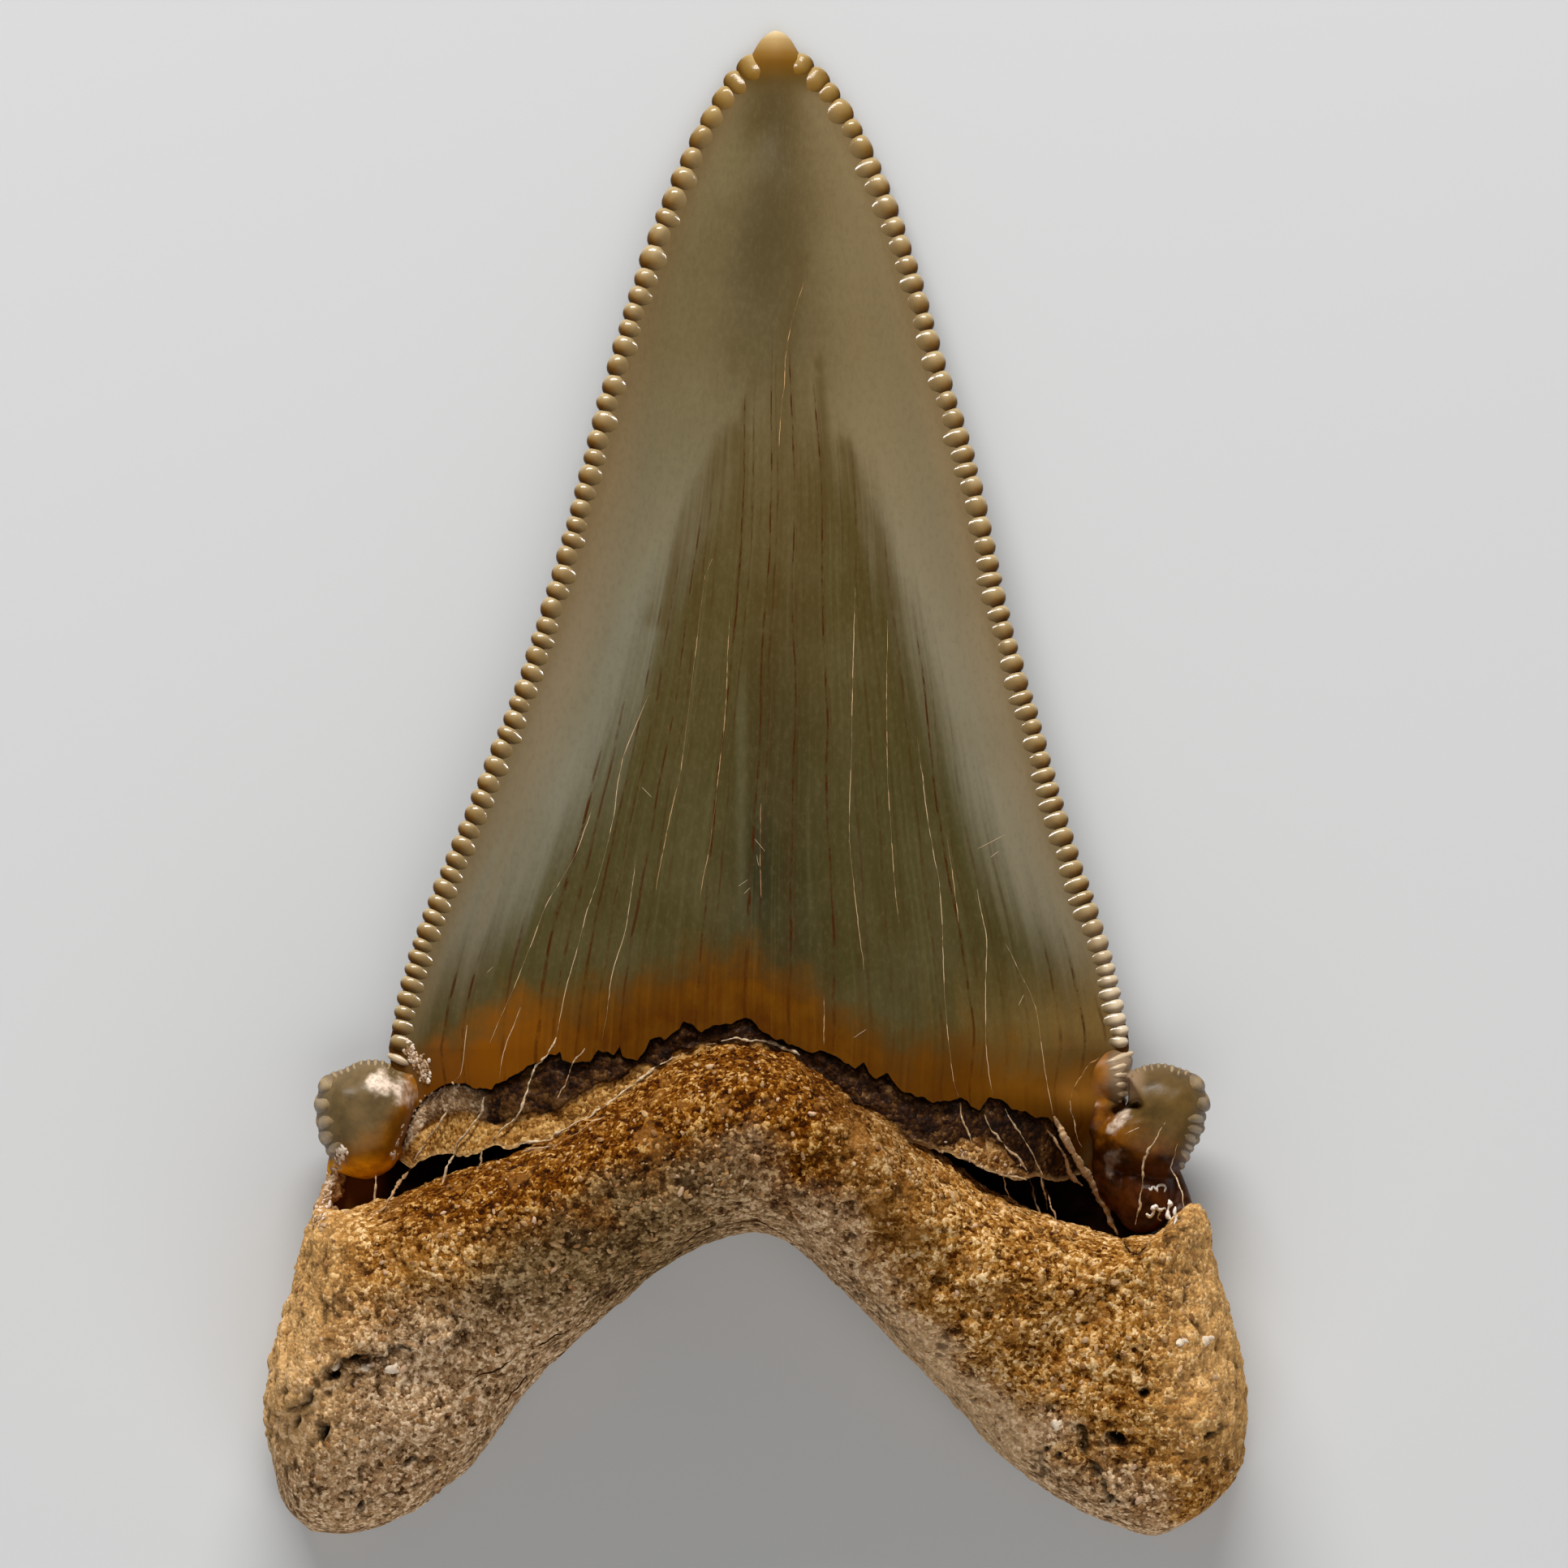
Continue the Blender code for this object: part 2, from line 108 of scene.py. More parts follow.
# Ragged lower rim of the enamel, from the left side tongue to the right one
ENAMEL_RIM = [
    (-16.93, -17.94), (-16.78, -17.4), (-16.59, -16.87), (-16.43, -16.38), (-16.25, -15.85),
    (-15.9, -15.24), (-15.56, -14.74), (-15.03, -14.44), (-14.54, -14.1), (-14.08, -14.02),
    (-13.66, -14.06), (-13.28, -14.21), (-12.86, -14.29), (-12.37, -14.33), (-12.18, -14.06),
    (-12.03, -13.95), (-11.49, -13.76), (-11.04, -13.57), (-10.7, -13.22), (-10.36, -13.15),
    (-10.09, -13), (-9.79, -12.73), (-9.44, -12.69), (-9.14, -12.5), (-9.06, -12.92), (-8.49, -13.07),
    (-8.07, -13), (-7.77, -13.07), (-7.39, -12.46), (-6.97, -12.54), (-6.67, -12.77), (-6.37, -12.31),
    (-6.21, -12.84), (-5.57, -12.92), (-5.19, -12.54), (-5, -12.05), (-4.46, -11.82), (-4.31, -11.97),
    (-3.74, -11.59), (-3.44, -11.13), (-2.87, -11.36), (-2.56, -11.59), (-1.96, -11.29),
    (-1.16, -11.21), (-0.51, -10.91), (-0.06, -11.21), (0.28, -11.63), (0.78, -11.86), (1.27, -12.05),
    (1.92, -12.31), (2.56, -12.62), (2.91, -12.46), (3.32, -12.54), (3.82, -12.84), (4.58, -13.34),
    (5, -13.07), (5.22, -13.49), (5.53, -13.79), (6.1, -13.53), (6.33, -13.87), (6.78, -14.36),
    (7.58, -14.63), (8.23, -14.9), (8.83, -14.82), (9.48, -14.67), (9.79, -14.82), (10.01, -15.12),
    (10.36, -15.28), (10.81, -14.67), (11.23, -14.74), (11.69, -14.97), (11.84, -15.2), (12.48, -15.28),
    (13.01, -15.62), (13.58, -15.62), (13.89, -15.85), (14.38, -16.64), (15.22, -18.09), (15.87, -19.3),
    (16.85, -21.09),
]
RIM_CUTTER_TAIL = [(16.9, -24.0), (-16.93, -24.0)]
RIM_CUTTER_Z = (1.7, 14.0)
RIM_STEP = 0.45

# Lower border of the dark layer on the bare dentine, and of the dentine itself where the hollows begin
DARK_LAYER_BORDER = [
    (-17.0, -17.4), (-16.4, -17.2), (-15.5, -16.0), (-14.7, -15.3), (-13.9, -15.5), (-12.8, -15.8),
    (-10.9, -15.6), (-9.4, -15.3), (-8.3, -14.6), (-7.1, -14.1), (-5.6, -13.5), (-3.4, -12.5),
    (0.3, -12.2), (3.5, -14.0), (6.6, -16.2), (8.2, -17.0), (9.6, -16.6), (11.0, -16.6), (12.3, -17.9),
    (13.2, -18.45), (15.2, -18.6), (17.0, -20.0),
]
DENTINE_BORDER = [
    (-16.9, -17.5), (-16.6, -17.75), (-16.1, -18.0), (-15.6, -17.7), (-15.0, -17.4), (-14.2, -17.4),
    (-13.9, -17.5), (-13.0, -17.25), (-12.6, -17.1), (-12.0, -16.95), (-11.5, -17.1), (-10.6, -16.8),
    (-8.0, -16.6), (0.0, -15.5), (6.0, -16.5), (9.55, -17.5), (10.85, -18.05), (11.95, -18.5),
    (12.6, -18.6), (13.05, -18.4), (14.0, -18.7), (14.65, -18.4), (15.4, -18.2),
]

# Both sides of the root in plan, its greatest height between them, and its cross section
ROOT_CROWN_SIDE = [
    (-20.8, -35.0), (-22.1, -33.7), (-22.7, -31.6), (-22.9, -29.3), (-22.6, -26.6), (-21.7, -23.6),
    (-20.7, -20.3), (-18.7, -19.9), (-15.0, -18.6), (-11.2, -17.2), (-7.1, -14.8), (-3.1, -12.5),
    (-0.3, -12.0), (2.2, -12.8), (5.4, -15.0), (9.1, -17.8), (12.6, -19.9), (18.0, -21.3),
    (20.5, -19.7), (21.4, -22.3), (22.3, -25.7), (22.9, -28.7), (22.6, -31.8), (21.4, -33.6),
    (19.9, -34.7),
]
ROOT_NOTCH_SIDE = [
    (-20.8, -35.0), (-18.7, -35.1), (-16.2, -34.3), (-14.0, -32.6), (-12.4, -30.9), (-11.2, -29.1),
    (-9.9, -27.6), (-8.5, -26.3), (-6.9, -24.9), (-5.2, -23.4), (-3.3, -22.1), (-1.6, -21.4),
    (0.0, -21.1), (1.5, -21.6), (3.1, -23.0), (4.9, -24.7), (6.7, -26.6), (8.3, -28.2), (9.8, -29.9),
    (11.2, -31.4), (13.0, -32.8), (14.9, -34.0), (16.8, -34.8), (18.5, -35.2), (19.9, -34.7),
]
ROOT_TOP = [
    3.0, 6.2, 7.9, 8.9, 9.6, 10.0, 10.3, 10.8, 11.5, 12.3, 13.0, 13.5,
    13.7, 13.5, 13.0, 12.3, 11.5, 10.8, 10.3, 10.0, 9.7, 9.1, 8.1, 6.4, 3.0,
]
ROOT_WAIST_Z = 3.2
ROOT_SINK = 0.35
ROOT_CREST_SHIFT = 0.2
ROOT_SQUARENESS = 0.72
ROOT_LUMPS = ((4.5, 0.6), (1.9, 0.25))
ROOT_SECTIONS = 440
ROOT_UPPER = 168
ROOT_LOWER = 46
# Crystals tried all over the root, places of the white bits, and the dark cracks
GRAIN_TRIES = 3600
WHITE_BITS = [
    (-19.55, -27.2), (-18.2, -27.25), (-17.0, -27.3), (13.9, -29.9), (19.7, -26.1), (20.9, -26.0),
]
ROOT_CRACKS = [
    [(-13.2, -27.8), (-11.8, -27.1), (-10.4, -26.3), (-8.6, -25.4)],
    [(-12.1, -29.3), (-10.4, -27.5), (-8.6, -26.4)],
    [(-4.3, -22.2), (-3.2, -21.4), (-2.4, -20.75), (-1.0, -20.45), (0.3, -20.5), (1.2, -20.9)],
    [(-4.4, -22.5), (-3.1, -21.6), (-2.2, -21.2)],
    [(16.97, -21.2), (17.35, -21.8), (17.7, -21.95), (18.2, -21.6)],
]

# Where the root turns from orange brown on the crown side to grey tan on the notch side
ROOT_ZONE_BORDER = [
    (-23.5, -29.5), (-21.0, -28.0), (-18.7, -26.9), (-12.6, -22.6), (-8.8, -20.7), (-5.0, -18.1),
    (-1.2, -17.3), (2.6, -19.2), (6.4, -23.8), (10.2, -28.0), (15.1, -31.8), (17.8, -33.7),
    (23.5, -37.0),
]
# Crumbly ledge across the left lobe
ROOT_LEDGE = [
    (-24.0, -30.5), (-20.6, -28.4), (-20.0, -27.4), (-19.3, -26.9), (-18.2, -26.8), (-17.2, -26.6),
    (-16.3, -26.2), (-15.2, -26.1), (-14.2, -25.9), (-13.0, -25.2), (-11.0, -24.0),
]
# Pits as (x, y, half length, half width, turn in degrees, depth)
ROOT_PITS = [
    (-18.65, -26.75, 0.75, 0.22, 8, 0.7), (-19.75, -27.55, 0.35, 0.22, 20, 0.6),
    (-20.35, -30.4, 0.5, 0.28, 70, 0.7), (-21.5, -29.8, 0.42, 0.2, 70, 0.6),
    (-18.45, -33.85, 0.32, 0.2, 60, 0.4), (-16.15, -31.7, 0.4, 0.1, 30, 0.4),
    (16.8, -30.6, 0.55, 0.3, -20, 0.7), (21.2, -30.4, 0.5, 0.13, 15, 0.4),
    (14.0, -31.45, 0.25, 0.2, 0, 0.4), (13.4, -31.1, 0.2, 0.16, 0, 0.3),
    (18.0, -28.4, 0.2, 0.16, 0, 0.3), (16.8, -26.7, 0.2, 0.14, 0, 0.3),
]
# Grooves as (depth, half width, places)
ROOT_GROOVES = [
    (0.35, 0.16, [(-19.9, -27.4), (-19.4, -27.1), (-18.9, -26.8), (-18.2, -26.9)]),
    (0.25, 0.12, [(-17.1, -26.4), (-16.5, -26.2), (-16.1, -26.35)]),
    (0.4, 0.22, [(15.1, -30.2), (15.2, -31.2), (15.8, -32.1), (16.1, -32.7), (16.3, -33.6)]),
    (0.2, 0.12, [(17.0, -21.2), (17.4, -21.85), (17.7, -21.9), (18.2, -21.6)]),
]

# Floor of the hollows as (x, upper y, lower y, height)
BRIDGE = [
    (-19.9, -18.2, -20.6, 2.5), (-19.2, -17.8, -20.8, 2.4), (-18.2, -17.4, -20.9, 2.4),
    (-15.0, -15.8, -21.0, 2.4), (-10.0, -14.5, -20.0, 2.4), (0.0, -13.8, -18.0, 2.4),
    (10.0, -15.2, -21.0, 2.4), (15.4, -16.4, -22.4, 2.4), (17.6, -17.4, -22.0, 2.4),
    (18.4, -18.4, -21.4, 2.2),
]
BRIDGE_BOTTOM_Z = 0.8
BRIDGE_SQUARENESS = 0.6

# Side cusps: ridged free outline, plain outline of the base, middle, levels and the ridges' lengths
LEFT_CUSP = {
    "free": [
        (-16.8, -13.5), (-17.2, -13.15), (-17.6, -13.0), (-18.2, -12.98), (-18.75, -13.1),
        (-19.3, -13.38), (-19.8, -13.55), (-20.25, -13.8), (-20.5, -14.4), (-20.6, -15.05),
        (-20.55, -15.8), (-20.45, -16.5), (-20.2, -17.05), (-19.85, -17.6),
    ],
    "base": [
        (-19.85, -17.6), (-19.5, -18.2), (-18.7, -18.5), (-17.9, -18.5), (-17.0, -18.0),
        (-16.7, -17.3), (-16.3, -16.2), (-15.9, -14.9), (-16.2, -13.9), (-16.8, -13.5),
    ],
    "middle": (-18.0, -15.8),
    "levels": (1.6, 2.8, 4.9),
    "ridges": [0.28, 0.34, 0.27, 0.32, 0.3, 0.36, 0.3, 0.34, 0.3, 0.36, 0.78, 0.92, 0.88, 0.74, 0.6],
}
RIGHT_CUSP = {
    "free": [
        (17.3, -13.6), (17.7, -13.4), (18.1, -13.25), (18.7, -13.15), (19.3, -13.2), (19.9, -13.4),
        (20.5, -13.65), (20.85, -14.1), (21.05, -14.8), (20.95, -15.5), (20.9, -16.1), (20.65, -16.7),
        (20.3, -17.3), (20.0, -17.9), (19.7, -18.2),
    ],
    "base": [
        (19.7, -18.2), (18.9, -18.8), (17.8, -18.6), (16.6, -18.0), (15.9, -17.0), (16.2, -15.9),
        (16.8, -15.6), (17.3, -15.0), (17.4, -14.2), (17.3, -13.6),
    ],
    "middle": (18.7, -15.9),
    "levels": (1.6, 2.9, 5.0),
    "ridges": [
        0.3, 0.26, 0.34, 0.28, 0.3, 0.26, 0.34, 0.3, 0.34, 0.8, 0.86, 0.6, 0.5, 0.5, 0.4, 0.44, 0.4,
    ],
}
MINOR_CUSP = {
    "free": [(17.4, -12.6), (17.6, -13.0), (17.45, -13.6), (17.35, -14.3), (17.2, -14.9)],
    "base": [
        (17.2, -14.9), (16.7, -15.1), (15.6, -15.2), (14.6, -14.8), (13.9, -13.9), (14.7, -12.8),
        (16.3, -12.2), (17.4, -12.6),
    ],
    "middle": (16.85, -13.7),
    "levels": (1.8, 2.4, 3.85),
    "ridges": [0.5, 0.5, 0.5, 0.5],
}
# Upper borders of the warm amber and the deep brown parts of the side cusps
LEFT_WARM_LINE = [
    (-20.5, -17.9), (-19.9, -17.7), (-18.7, -17.0), (-17.6, -16.3), (-16.9, -15.4), (-16.5, -14.3),
    (-16.25, -12.8), (-15.5, -11.0),
]
LEFT_DEEP_LINE = [(-20.5, -17.8), (-17.9, -17.45), (-15.5, -16.9)]
RIGHT_WARM_LINE = [
    (13.0, -10.0), (15.3, -12.6), (15.9, -13.6), (16.4, -15.0), (17.2, -16.3), (17.8, -16.4),
    (18.5, -16.8), (19.5, -17.1), (20.5, -17.9),
]
RIGHT_DEEP_LINE = [
    (14.0, -15.6), (15.8, -16.6), (17.2, -17.0), (18.0, -17.1), (18.9, -17.2), (20.5, -18.2),
]
# Pale ridges of the minor cusp as (outer end, direction inwards, length, half width)
MINOR_RIDGES = [
    ((17.62, -12.62), (-0.93, -0.36), 1.75, 0.22), ((17.55, -13.1), (-0.95, -0.3), 1.45, 0.23),
    ((17.5, -13.55), (-0.97, -0.2), 1.1, 0.22), ((17.45, -14.02), (-0.98, -0.15), 0.9, 0.24),
    ((17.38, -14.5), (-0.97, 0.0), 0.7, 0.22), ((17.3, -14.9), (-0.95, 0.1), 0.5, 0.18),
]

# Crumbly crust at the crown's left corner
CORNER_CRUST = [(-16.5, -12.2), (-16.2, -12.6), (-15.8, -13.0), (-15.5, -13.4), (-15.6, -13.9)]
# Pale rough edge of the dentine flap and the crust on the wall below the left cusplet
FLAP_EDGE = [
    (-16.9, -17.4), (-16.7, -16.8), (-16.4, -16.2), (-16.0, -15.4), (-15.4, -14.7), (-14.8, -14.4),
    (-13.8, -14.2),
]
WALL_CRUST = [
    (-19.3, -17.3), (-19.6, -18.0), (-19.85, -18.6), (-20.1, -19.3), (-20.35, -20.1), (-20.45, -20.8),
]

# Hairline cracks in the enamel
CRACKS = [
    [(2.19, 23.33), (1.92, 22.5), (1.61, 21.43), (1.35, 19.91), (1.27, 18.39), (1.12, 16.87),
     (1.04, 15.35)],
    [(-2.07, 10.41), (-2.41, 9.46), (-2.64, 7.75), (-2.87, 5.81), (-3.17, 3.57), (-3.48, 0.91),
     (-3.97, -1.37), (-4.43, -3.61), (-4.69, -5.02)],
    [(-5.04, 4.07), (-5.57, 2.81), (-6.17, 1.29), (-6.48, -0.23), (-6.71, -1.86), (-7.39, -4.48),
     (-7.88, -5.93), (-8.27, -7.45), (-8.8, -9.39), (-9.14, -10.87), (-9.4, -12.35)],
    [(-7.39, -0.46), (-7.92, -1.94), (-8.42, -3.27), (-9.14, -4.6), (-9.82, -5.7), (-10.54, -7.64),
     (-11.42, -9.8), (-12.45, -12.16)],
    [(-5.64, -3.61), (-5.87, -5.36), (-6.17, -7.11), (-6.71, -8.85), (-6.93, -10.41), (-7.2, -12.01)],
    [(-1.27, 7.75), (-1.35, 5.66), (-1.46, 3.38), (-1.77, 0.34), (-2.15, -2.74), (-2.41, -4.14),
     (-2.68, -5.55)],
    [(0.21, -0.99), (0.17, -3.08), (0.21, -5.36)],
    [(4.58, 9.08), (4.5, 5.47), (4.43, 1.98), (4.35, -0.23), (4.31, -2.28), (4.46, -4.22), (4.66, -6),
     (5, -8.74)],
    [(6.1, 7.56), (6.06, 3.95), (6.1, 0.27), (6.25, -1.94), (6.37, -3.99), (6.63, -6.54)],
    [(7.47, 2.13), (7.69, 0.46), (7.88, -1.1), (8.23, -3.27), (8.57, -5.32), (8.72, -9.08),
     (8.83, -10.87), (8.95, -12.27), (9.18, -13.91), (9.4, -14.63)],
    [(8.83, -2.28), (9.14, -4.41), (9.4, -6.54)],
    [(10.28, -4.98), (10.51, -6.23), (10.7, -7.37), (10.66, -9.92), (10.7, -12.62), (11, -14.6)],
    [(11.61, -7.52), (12.29, -8.89), (12.98, -10.41), (13.24, -11.93), (13.51, -13.91), (13.81, -15.5)],
    [(3.13, -9.92), (3.13, -12.27)],
    [(-13.51, -11.32), (-13.62, -12.39), (-13.78, -13.53), (-14.15, -13.98)],
    [(-11, -10.49), (-11.72, -12.39), (-12.03, -13.91)],
]

CRACK_LIFT = 0.001
CRACK_HEIGHT = 0.02
# Short white scratches
SCRATCHES = [
    [(0.4, -3.23), (-0.1, -2.62)], [(0.1, -3.9), (0.0, -3.4)], [(-0.87, -4.85), (-0.4, -4.52)],
    [(-0.6, -5.2), (-0.3, -4.9)], [(10.3, -3.1), (11.6, -2.43)], [(10.9, -3.5), (11.3, -3.2)],
    [(-5.34, -0.23), (-4.88, -0.7)], [(4.5, -11.9), (5.1, -11.5)], [(-12.6, -8.9), (-12.3, -8.6)],
    [(12.2, -10.4), (12.45, -9.9)],
]

# Pale mineral veins and squiggles as (width, height, places, tone)
VEIN_SPAN = 18
VEIN_CALM = 15
VEIN_SAG = 0.35
VEINS = [
    (0.13, 0.45, [(-16.13, -17.94), (-16.43, -18.39), (-16.74, -18.81), (-17.2, -19.49),
     (-17.57, -19.87), (-18.03, -20.22)], 0.35),
    (0.09, 0.4, [(-17.8, -18.24), (-17.77, -18.66), (-17.8, -19.08), (-17.84, -19.61)], 0.5),
    (0.11, 0.6, [(-14.12, -17.4), (-14.31, -17.71), (-14.46, -17.94), (-14.57, -18.32),
     (-14.65, -18.73)], 0.55),
    (0.08, 0.6, [(-12.79, -17.18), (-12.86, -17.48), (-12.94, -17.86), (-13.05, -18.16)], 0.5),
    (0.1, 0.8, [(-14.31, -15.05), (-14.54, -15.5), (-14.88, -15.96), (-15.29, -16.49), (-15.64, -17.02),
     (-16.05, -17.78)], 0.6),
    (0.12, 0.9, [(-12.71, -14.67), (-12.86, -15.28), (-13.09, -15.73), (-13.47, -16.26),
     (-13.93, -16.87), (-14.15, -17.4)], 0.75),
    (0.1, 0.8, [(-9.33, -11.89), (-9.79, -12.62), (-10.39, -13.38), (-10.58, -13.98), (-10.7, -14.48),
     (-10.96, -15.12), (-11.23, -15.62), (-11.8, -16.19), (-12.29, -16.64)], 0.85),
    (0.07, 0.6, [(-8.0, -12.39), (-8.53, -13.22), (-8.83, -13.91), (-9.29, -14.74)], 0.55),
    (0.08, 0.6, [(9.48, -14.9), (9.6, -15.6), (9.85, -16.4), (10.05, -17.0)], 0.5),
    (0.1, 0.6, [(10.51, -15.3), (11.0, -16.2), (11.8, -17.2), (12.6, -18.1)], 0.55),
    (0.09, 0.6, [(11.57, -15.2), (12.2, -16.3), (12.9, -17.5), (13.24, -18.2), (13.4, -19.2),
     (13.58, -20.0)], 0.5),
    (0.36, 0.8, [(13.85, -15.58), (14.19, -16.19), (14.57, -16.87), (14.91, -17.48), (15.22, -18.05),
     (15.71, -18.92), (16.17, -19.72), (16.55, -20.44), (16.89, -21.17)], 0.45),
    (0.17, 0.7, [(13.51, -16.19), (13.85, -16.72), (14.27, -17.4), (14.69, -18.32),
     (15.22, -18.85)], 0.4),
    (0.07, 0.5, [(11.42, -18.09), (11.61, -18.54), (11.69, -19.0), (11.84, -19.53)], 0.4),
    (0.08, 0.5, [(12.75, -18.54), (12.94, -19.08), (13.13, -19.61), (13.24, -20.14)], 0.45),
    (0.07, 0.5, [(13.36, -18.54), (13.58, -19.15), (13.81, -19.91), (13.96, -20.52)], 0.4),
    (0.04, 0.3, [(16.0, -12.85), (15.45, -13.3), (15.05, -13.85), (14.8, -14.4), (14.63, -14.86)], 0.2),
    (0.06, 0.5, [(14.61, -14.86), (14.69, -15.5), (14.8, -16.0), (14.95, -16.57),
     (15.18, -17.02)], 0.5),
    (0.1, 1.0, [(19.06, -15.88), (18.75, -16.34), (18.45, -16.87), (18.18, -17.29), (18.07, -18.01),
     (18.03, -18.73), (17.95, -19.38), (17.84, -20.06), (17.69, -20.67)], 0.6),
    (0.06, 0.8, [(19.63, -16.87), (19.51, -17.33), (19.4, -17.71), (19.32, -18.01), (19.55, -18.47),
     (19.74, -19.08), (19.97, -19.91)], 0.7),
    (0.06, 0.6, [(17.84, -16.11), (17.54, -16.23), (17.16, -16.42)], 0.6),
    (0.12, 0.9, [(18.3, -18.92), (18.41, -19.08), (18.52, -18.89), (18.64, -19.08)], 1.0),
    (0.14, 0.9, [(18.71, -19.15), (18.71, -18.92), (18.91, -18.85), (19.06, -18.92),
     (19.02, -19.15)], 1.0),
    (0.17, 0.9, [(18.18, -20.14), (18.37, -20.25), (18.49, -20.06), (18.45, -19.84), (18.64, -19.68),
     (18.83, -19.91), (19.06, -19.87), (19.13, -19.99)], 1.0),
    (0.17, 0.9, [(19.21, -19.46), (19.29, -19.72), (19.17, -19.99), (19.17, -20.25),
     (19.32, -20.37)], 1.0),
    (0.15, 0.9, [(19.51, -19.76), (19.47, -20.06), (19.55, -20.37), (19.44, -20.6)], 1.0),
    (0.1, 0.8, [(18.83, -20.06), (18.71, -20.33), (18.91, -20.48)], 0.95),
]
LIP_VEINS = [
    (0.2, 0.9, [(-11.42, -17.06), (-10.92, -16.87), (-10.36, -16.76), (-9.6, -16.57), (-9.03, -16.23),
     (-8.46, -15.88), (-8.0, -15.66), (-7.69, -15.5), (-7.24, -15.16), (-6.75, -14.82), (-5.87, -14.17),
     (-5.04, -13.53), (-3.9, -12.84), (-2.38, -12.39)], 0.95),
    (0.1, 0.7, [(-10.89, -17.21), (-10.05, -17.02), (-9.29, -16.8), (-8.61, -16.42), (-7.85, -16.0),
     (-7.01, -15.5)], 0.5),
    (0.18, 0.8, [(-2.38, -12.2), (-1.61, -12.05), (-0.78, -11.97), (0.1, -12.01), (0.85, -12.2),
     (1.61, -12.5), (2.19, -12.77)], 0.85),
    (0.09, 0.6, [(9.48, -17.48), (10.85, -18.05), (11.95, -18.43), (12.6, -18.54)], 0.6),
]

# Soft dark wisps at the top of the crown's core as (half width, strength, places)
WISPS = [
    (0.95, 0.8, [(-1.1, 16.2), (-1.6, 15.5), (-2.7, 13.2), (-3.8, 10.0), (-4.6, 7.6)]),
    (0.4, 0.65, [(-0.1, 19.3), (-0.5, 17.0), (-0.75, 14.0), (-1.0, 11.0)]),
    (0.4, 0.75, [(2.95, 19.7), (3.1, 17.5), (3.15, 15.4), (3.3, 12.3)]),
    (0.7, 0.75, [(4.2, 15.6), (4.6, 14.2), (5.1, 12.9), (5.9, 10.4), (6.4, 8.4)]),
    (0.7, 0.55, [(2.0, 24.4), (1.8, 23.0), (1.45, 20.8), (1.2, 18.0), (1.0, 15.0)]),
    (0.3, 0.4, [(-1.0, 20.5), (-1.15, 19.2)]),
    (1.6, 0.35, [(0.6, 27.5), (1.0, 25.5), (1.3, 23.4)]),
]
# Half width of the crown's dark core down the ramp, and rise of its amber band across the crown
CORE_REACH = [
    (0.306, 0.0), (0.396, 0.145), (0.548, 0.25), (0.7, 0.295), (0.822, 0.355), (0.898, 0.42),
    (0.952, 0.5),
]
AMBER_RISE = [
    (0.0, 0.0), (0.08, 0.24), (0.165, 0.42), (0.3, 0.46), (0.38, 0.6), (0.49, 0.68), (0.57, 0.49),
    (0.63, 0.33), (0.69, 0.21), (0.8, 0.2), (0.92, 0.1),
]
AMBER_FOOT = 49.0
AMBER_HEIGHT = 9.0
AMBER_SPOT = (15.2, -14.3)
# Length of the colour ramps down the crown, middle of the core as a share of the crown's width,
# and the width in millimetres and the hairs that this whole width stands for
RAMP_LENGTH = 50.0
CORE_MIDDLE = 0.515
FAN_WIDTH = 34.0
HAIR_COUNT = 32.0


def eased(low, high, value):
    """0 below low, 1 above high and a smooth step between. low may be above high."""
    t = np.clip((value - low) / (high - low), 0.0, 1.0)
    return t * t * (3 - 2 * t)


def lattice(cells, seed):
    """A repeatable number from -1 to 1 for each whole-number place."""
    mixed = cells[..., 0] * 73856093 ^ cells[..., 1] * 19349663 ^ cells[..., 2] * 83492791
    mixed = mixed ^ seed * 26544357
    mixed = (mixed ^ (mixed >> 13)) * 1274126177
    mixed = mixed ^ (mixed >> 16)
    return (mixed & 0xFFFF) / 32767.5 - 1


def bumps(places, size, seed):
    """Smooth noise from -1 to 1 at each place, with bumps of this size."""
    scaled = np.asarray(places, float) / size
    cells = np.floor(scaled).astype(np.int64)
    part = scaled - cells
    part = part**3 * (part * (part * 6 - 15) + 10)
    total = 0.0
    for corner in itertools.product((0, 1), repeat=3):
        weight = np.prod(np.where(np.array(corner) == 1, part, 1 - part), axis=-1)
        total = total + weight * lattice(cells + np.array(corner), seed)
    return total


def fractal(places, size, seed, octaves=3):
    """Noise with bumps of this size and of smaller ones on them."""
    return sum(bumps(places, size / 2**k, seed + k) / 2**k for k in range(octaves))


def tossed(places, apart, size, seed, octaves):
    """Noise in all three directions, read at places that lie apart."""
    return np.stack([fractal(places + apart * k, size, seed + k, octaves) for k in range(3)], axis=1)


def fuller(wave, power):
    """A wave from -1 to 1 with its shoulders pushed out, for a power below 1."""
    return np.sign(wave) * np.abs(wave) ** power


def level(x, y):
    """Places at height 0."""
    return np.stack([x, y, np.zeros_like(x)], axis=-1)


def pebbles(places, size, seed):
    """Rounded lumps of this size, packed side by side.

    Returns their height and a value from -1 to 1 for each lump.
    """
    scaled = np.asarray(places, float) / size
    cells = np.floor(scaled).astype(np.int64)
    nearest = np.full(scaled.shape[:-1], 9.0)
    value = np.zeros(scaled.shape[:-1])
    for shift in itertools.product((-1, 0, 1), repeat=3):
        cell = cells + np.array(shift)
        centre = cell + 0.5 + 0.42 * np.stack([lattice(cell, seed + k) for k in range(3)], axis=-1)
        away = np.linalg.norm(scaled - centre, axis=-1)
        value = np.where(away < nearest, lattice(cell, seed + 3), value)
        nearest = np.minimum(nearest, away)
    return 1 - np.minimum(1.0, (nearest / 0.75) ** 2), value


